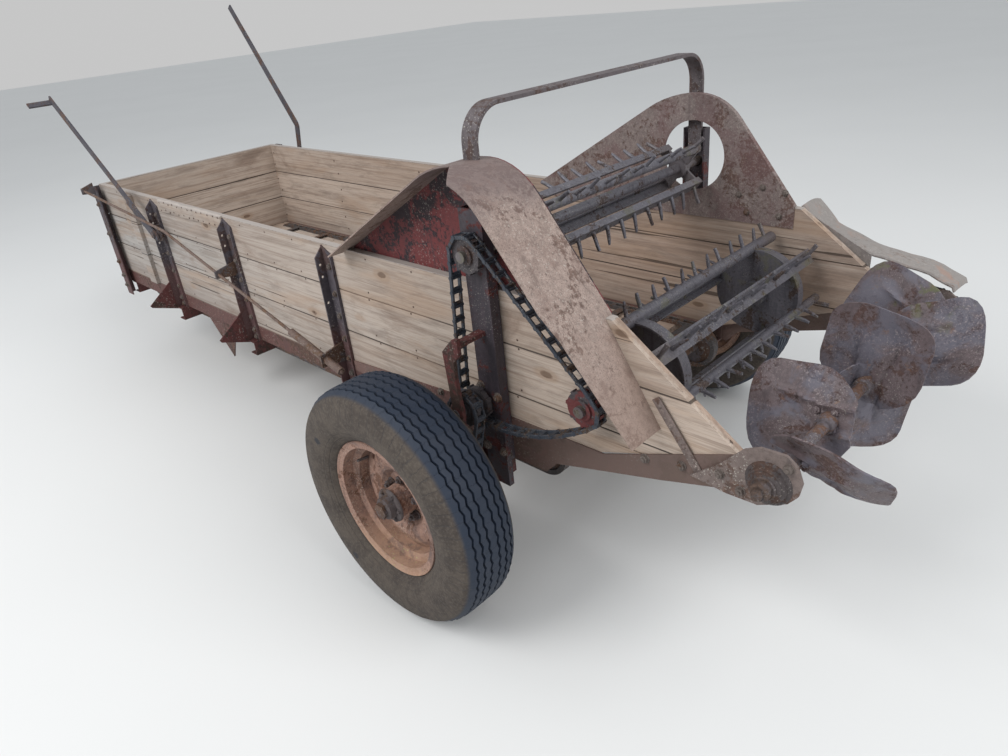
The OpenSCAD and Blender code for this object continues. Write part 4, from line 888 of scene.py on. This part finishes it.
def link_chain(name, circles, y, sag, node):
    """Copies one link from hinge to hinge round the whole loop."""
    one = bmesh.new()
    side_bar, side_at = (0.048, 0.0062, 0.0105), 0.0142
    barrel, hook, tongue = (0.0, 0.0062, 0.0185), (0.0405, 0.0050, 0.0175), (0.009, 0.0045, 0.012)
    for s in (1, -1):
        made = bmesh.ops.create_cube(one, size=1.0)["verts"]
        bmesh.ops.scale(one, vec=side_bar, verts=made)
        bmesh.ops.translate(one, vec=(0.0205, s * side_at, 0), verts=made)
    eased(one, one.edges[:], 0.0011)
    for x, radius, half_width in (barrel, hook, tongue):
        made = bmesh.ops.create_cone(one, cap_ends=True, segments=8, radius1=radius, radius2=radius,
                                     depth=2 * half_width)["verts"]
        bmesh.ops.rotate(one, cent=(0, 0, 0), matrix=Matrix.Rotation(pi / 2, 3, "X"), verts=made)
        bmesh.ops.translate(one, vec=(x, 0, 0), verts=made)
    pattern = bpy.data.meshes.new(name + "_link")
    one.to_mesh(pattern)
    one.free()
    chain = bmesh.new()
    points = chain_path(circles, sag)
    for i, (x, z) in enumerate(points):
        nx, nz = points[(i + 1) % len(points)]
        before = len(chain.verts)
        chain.from_mesh(pattern)
        chain.verts.ensure_lookup_table()
        added = chain.verts[before:]
        turn = Matrix.Rotation(-atan2(nz - z, nx - x), 4, "Y")
        bmesh.ops.transform(chain, matrix=Matrix.Translation(at(x, y, z)) @ turn, verts=added)
    bpy.data.meshes.remove(pattern)
    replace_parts(fitted(name, chain, chain_steel, "frame", 40), node)


sprocket_r = 52.2
beater_side, drive_side = 560, 603
wheel_sprocket = (0, 0, 75)
counter, upper = (-80, 215, sprocket_r), (upper_x, upper_z, sprocket_r)
main_one, rear_one = (main_x, main_z, sprocket_r), (distributor_x, distributor_z, sprocket_r)
link_chain("beater_link_chain", (counter, upper, main_one), beater_side, 34, "beater_chain")
link_chain("drive_link_chain", (wheel_sprocket, counter), drive_side, 0, "drive_chain")
link_chain("distributor_link_chain", (main_one, rear_one), -beater_side, 0, "distributor_chain")

# The floor apron: two steel link chains with pressed slats between them.
# A cross shaft under the rear draws it over the floor, and it comes back underneath.
apron_steel = old_paint("apron_steel", paint=(0.085, 0.075, 0.075), rust=(0.15, 0.08, 0.05),
                        dark=(0.03, 0.026, 0.026), wear=0.6, pale=0.3, scale=1.8)
dress(apron_steel, "apron_upper", "apron_lower")

# Two hand levers of flat bar turn on pins at the stakes, one on each side.
# The left one has a bent grip, and the long rod in its guides is worked from it.
lever_steel = old_paint("lever_steel", paint=(0.075, 0.07, 0.085), rust=(0.14, 0.08, 0.06),
                        dark=(0.03, 0.028, 0.034), pale=0.45, scale=1.8)
rod_steel = old_paint("rod_steel", paint=(0.16, 0.105, 0.085), rust=(0.18, 0.10, 0.06),
                      dark=(0.05, 0.038, 0.035), pale=0.4, scale=2.0)
dress(lever_steel, "lever_left", "lever_right")
dress(rod_steel, "control_rod")
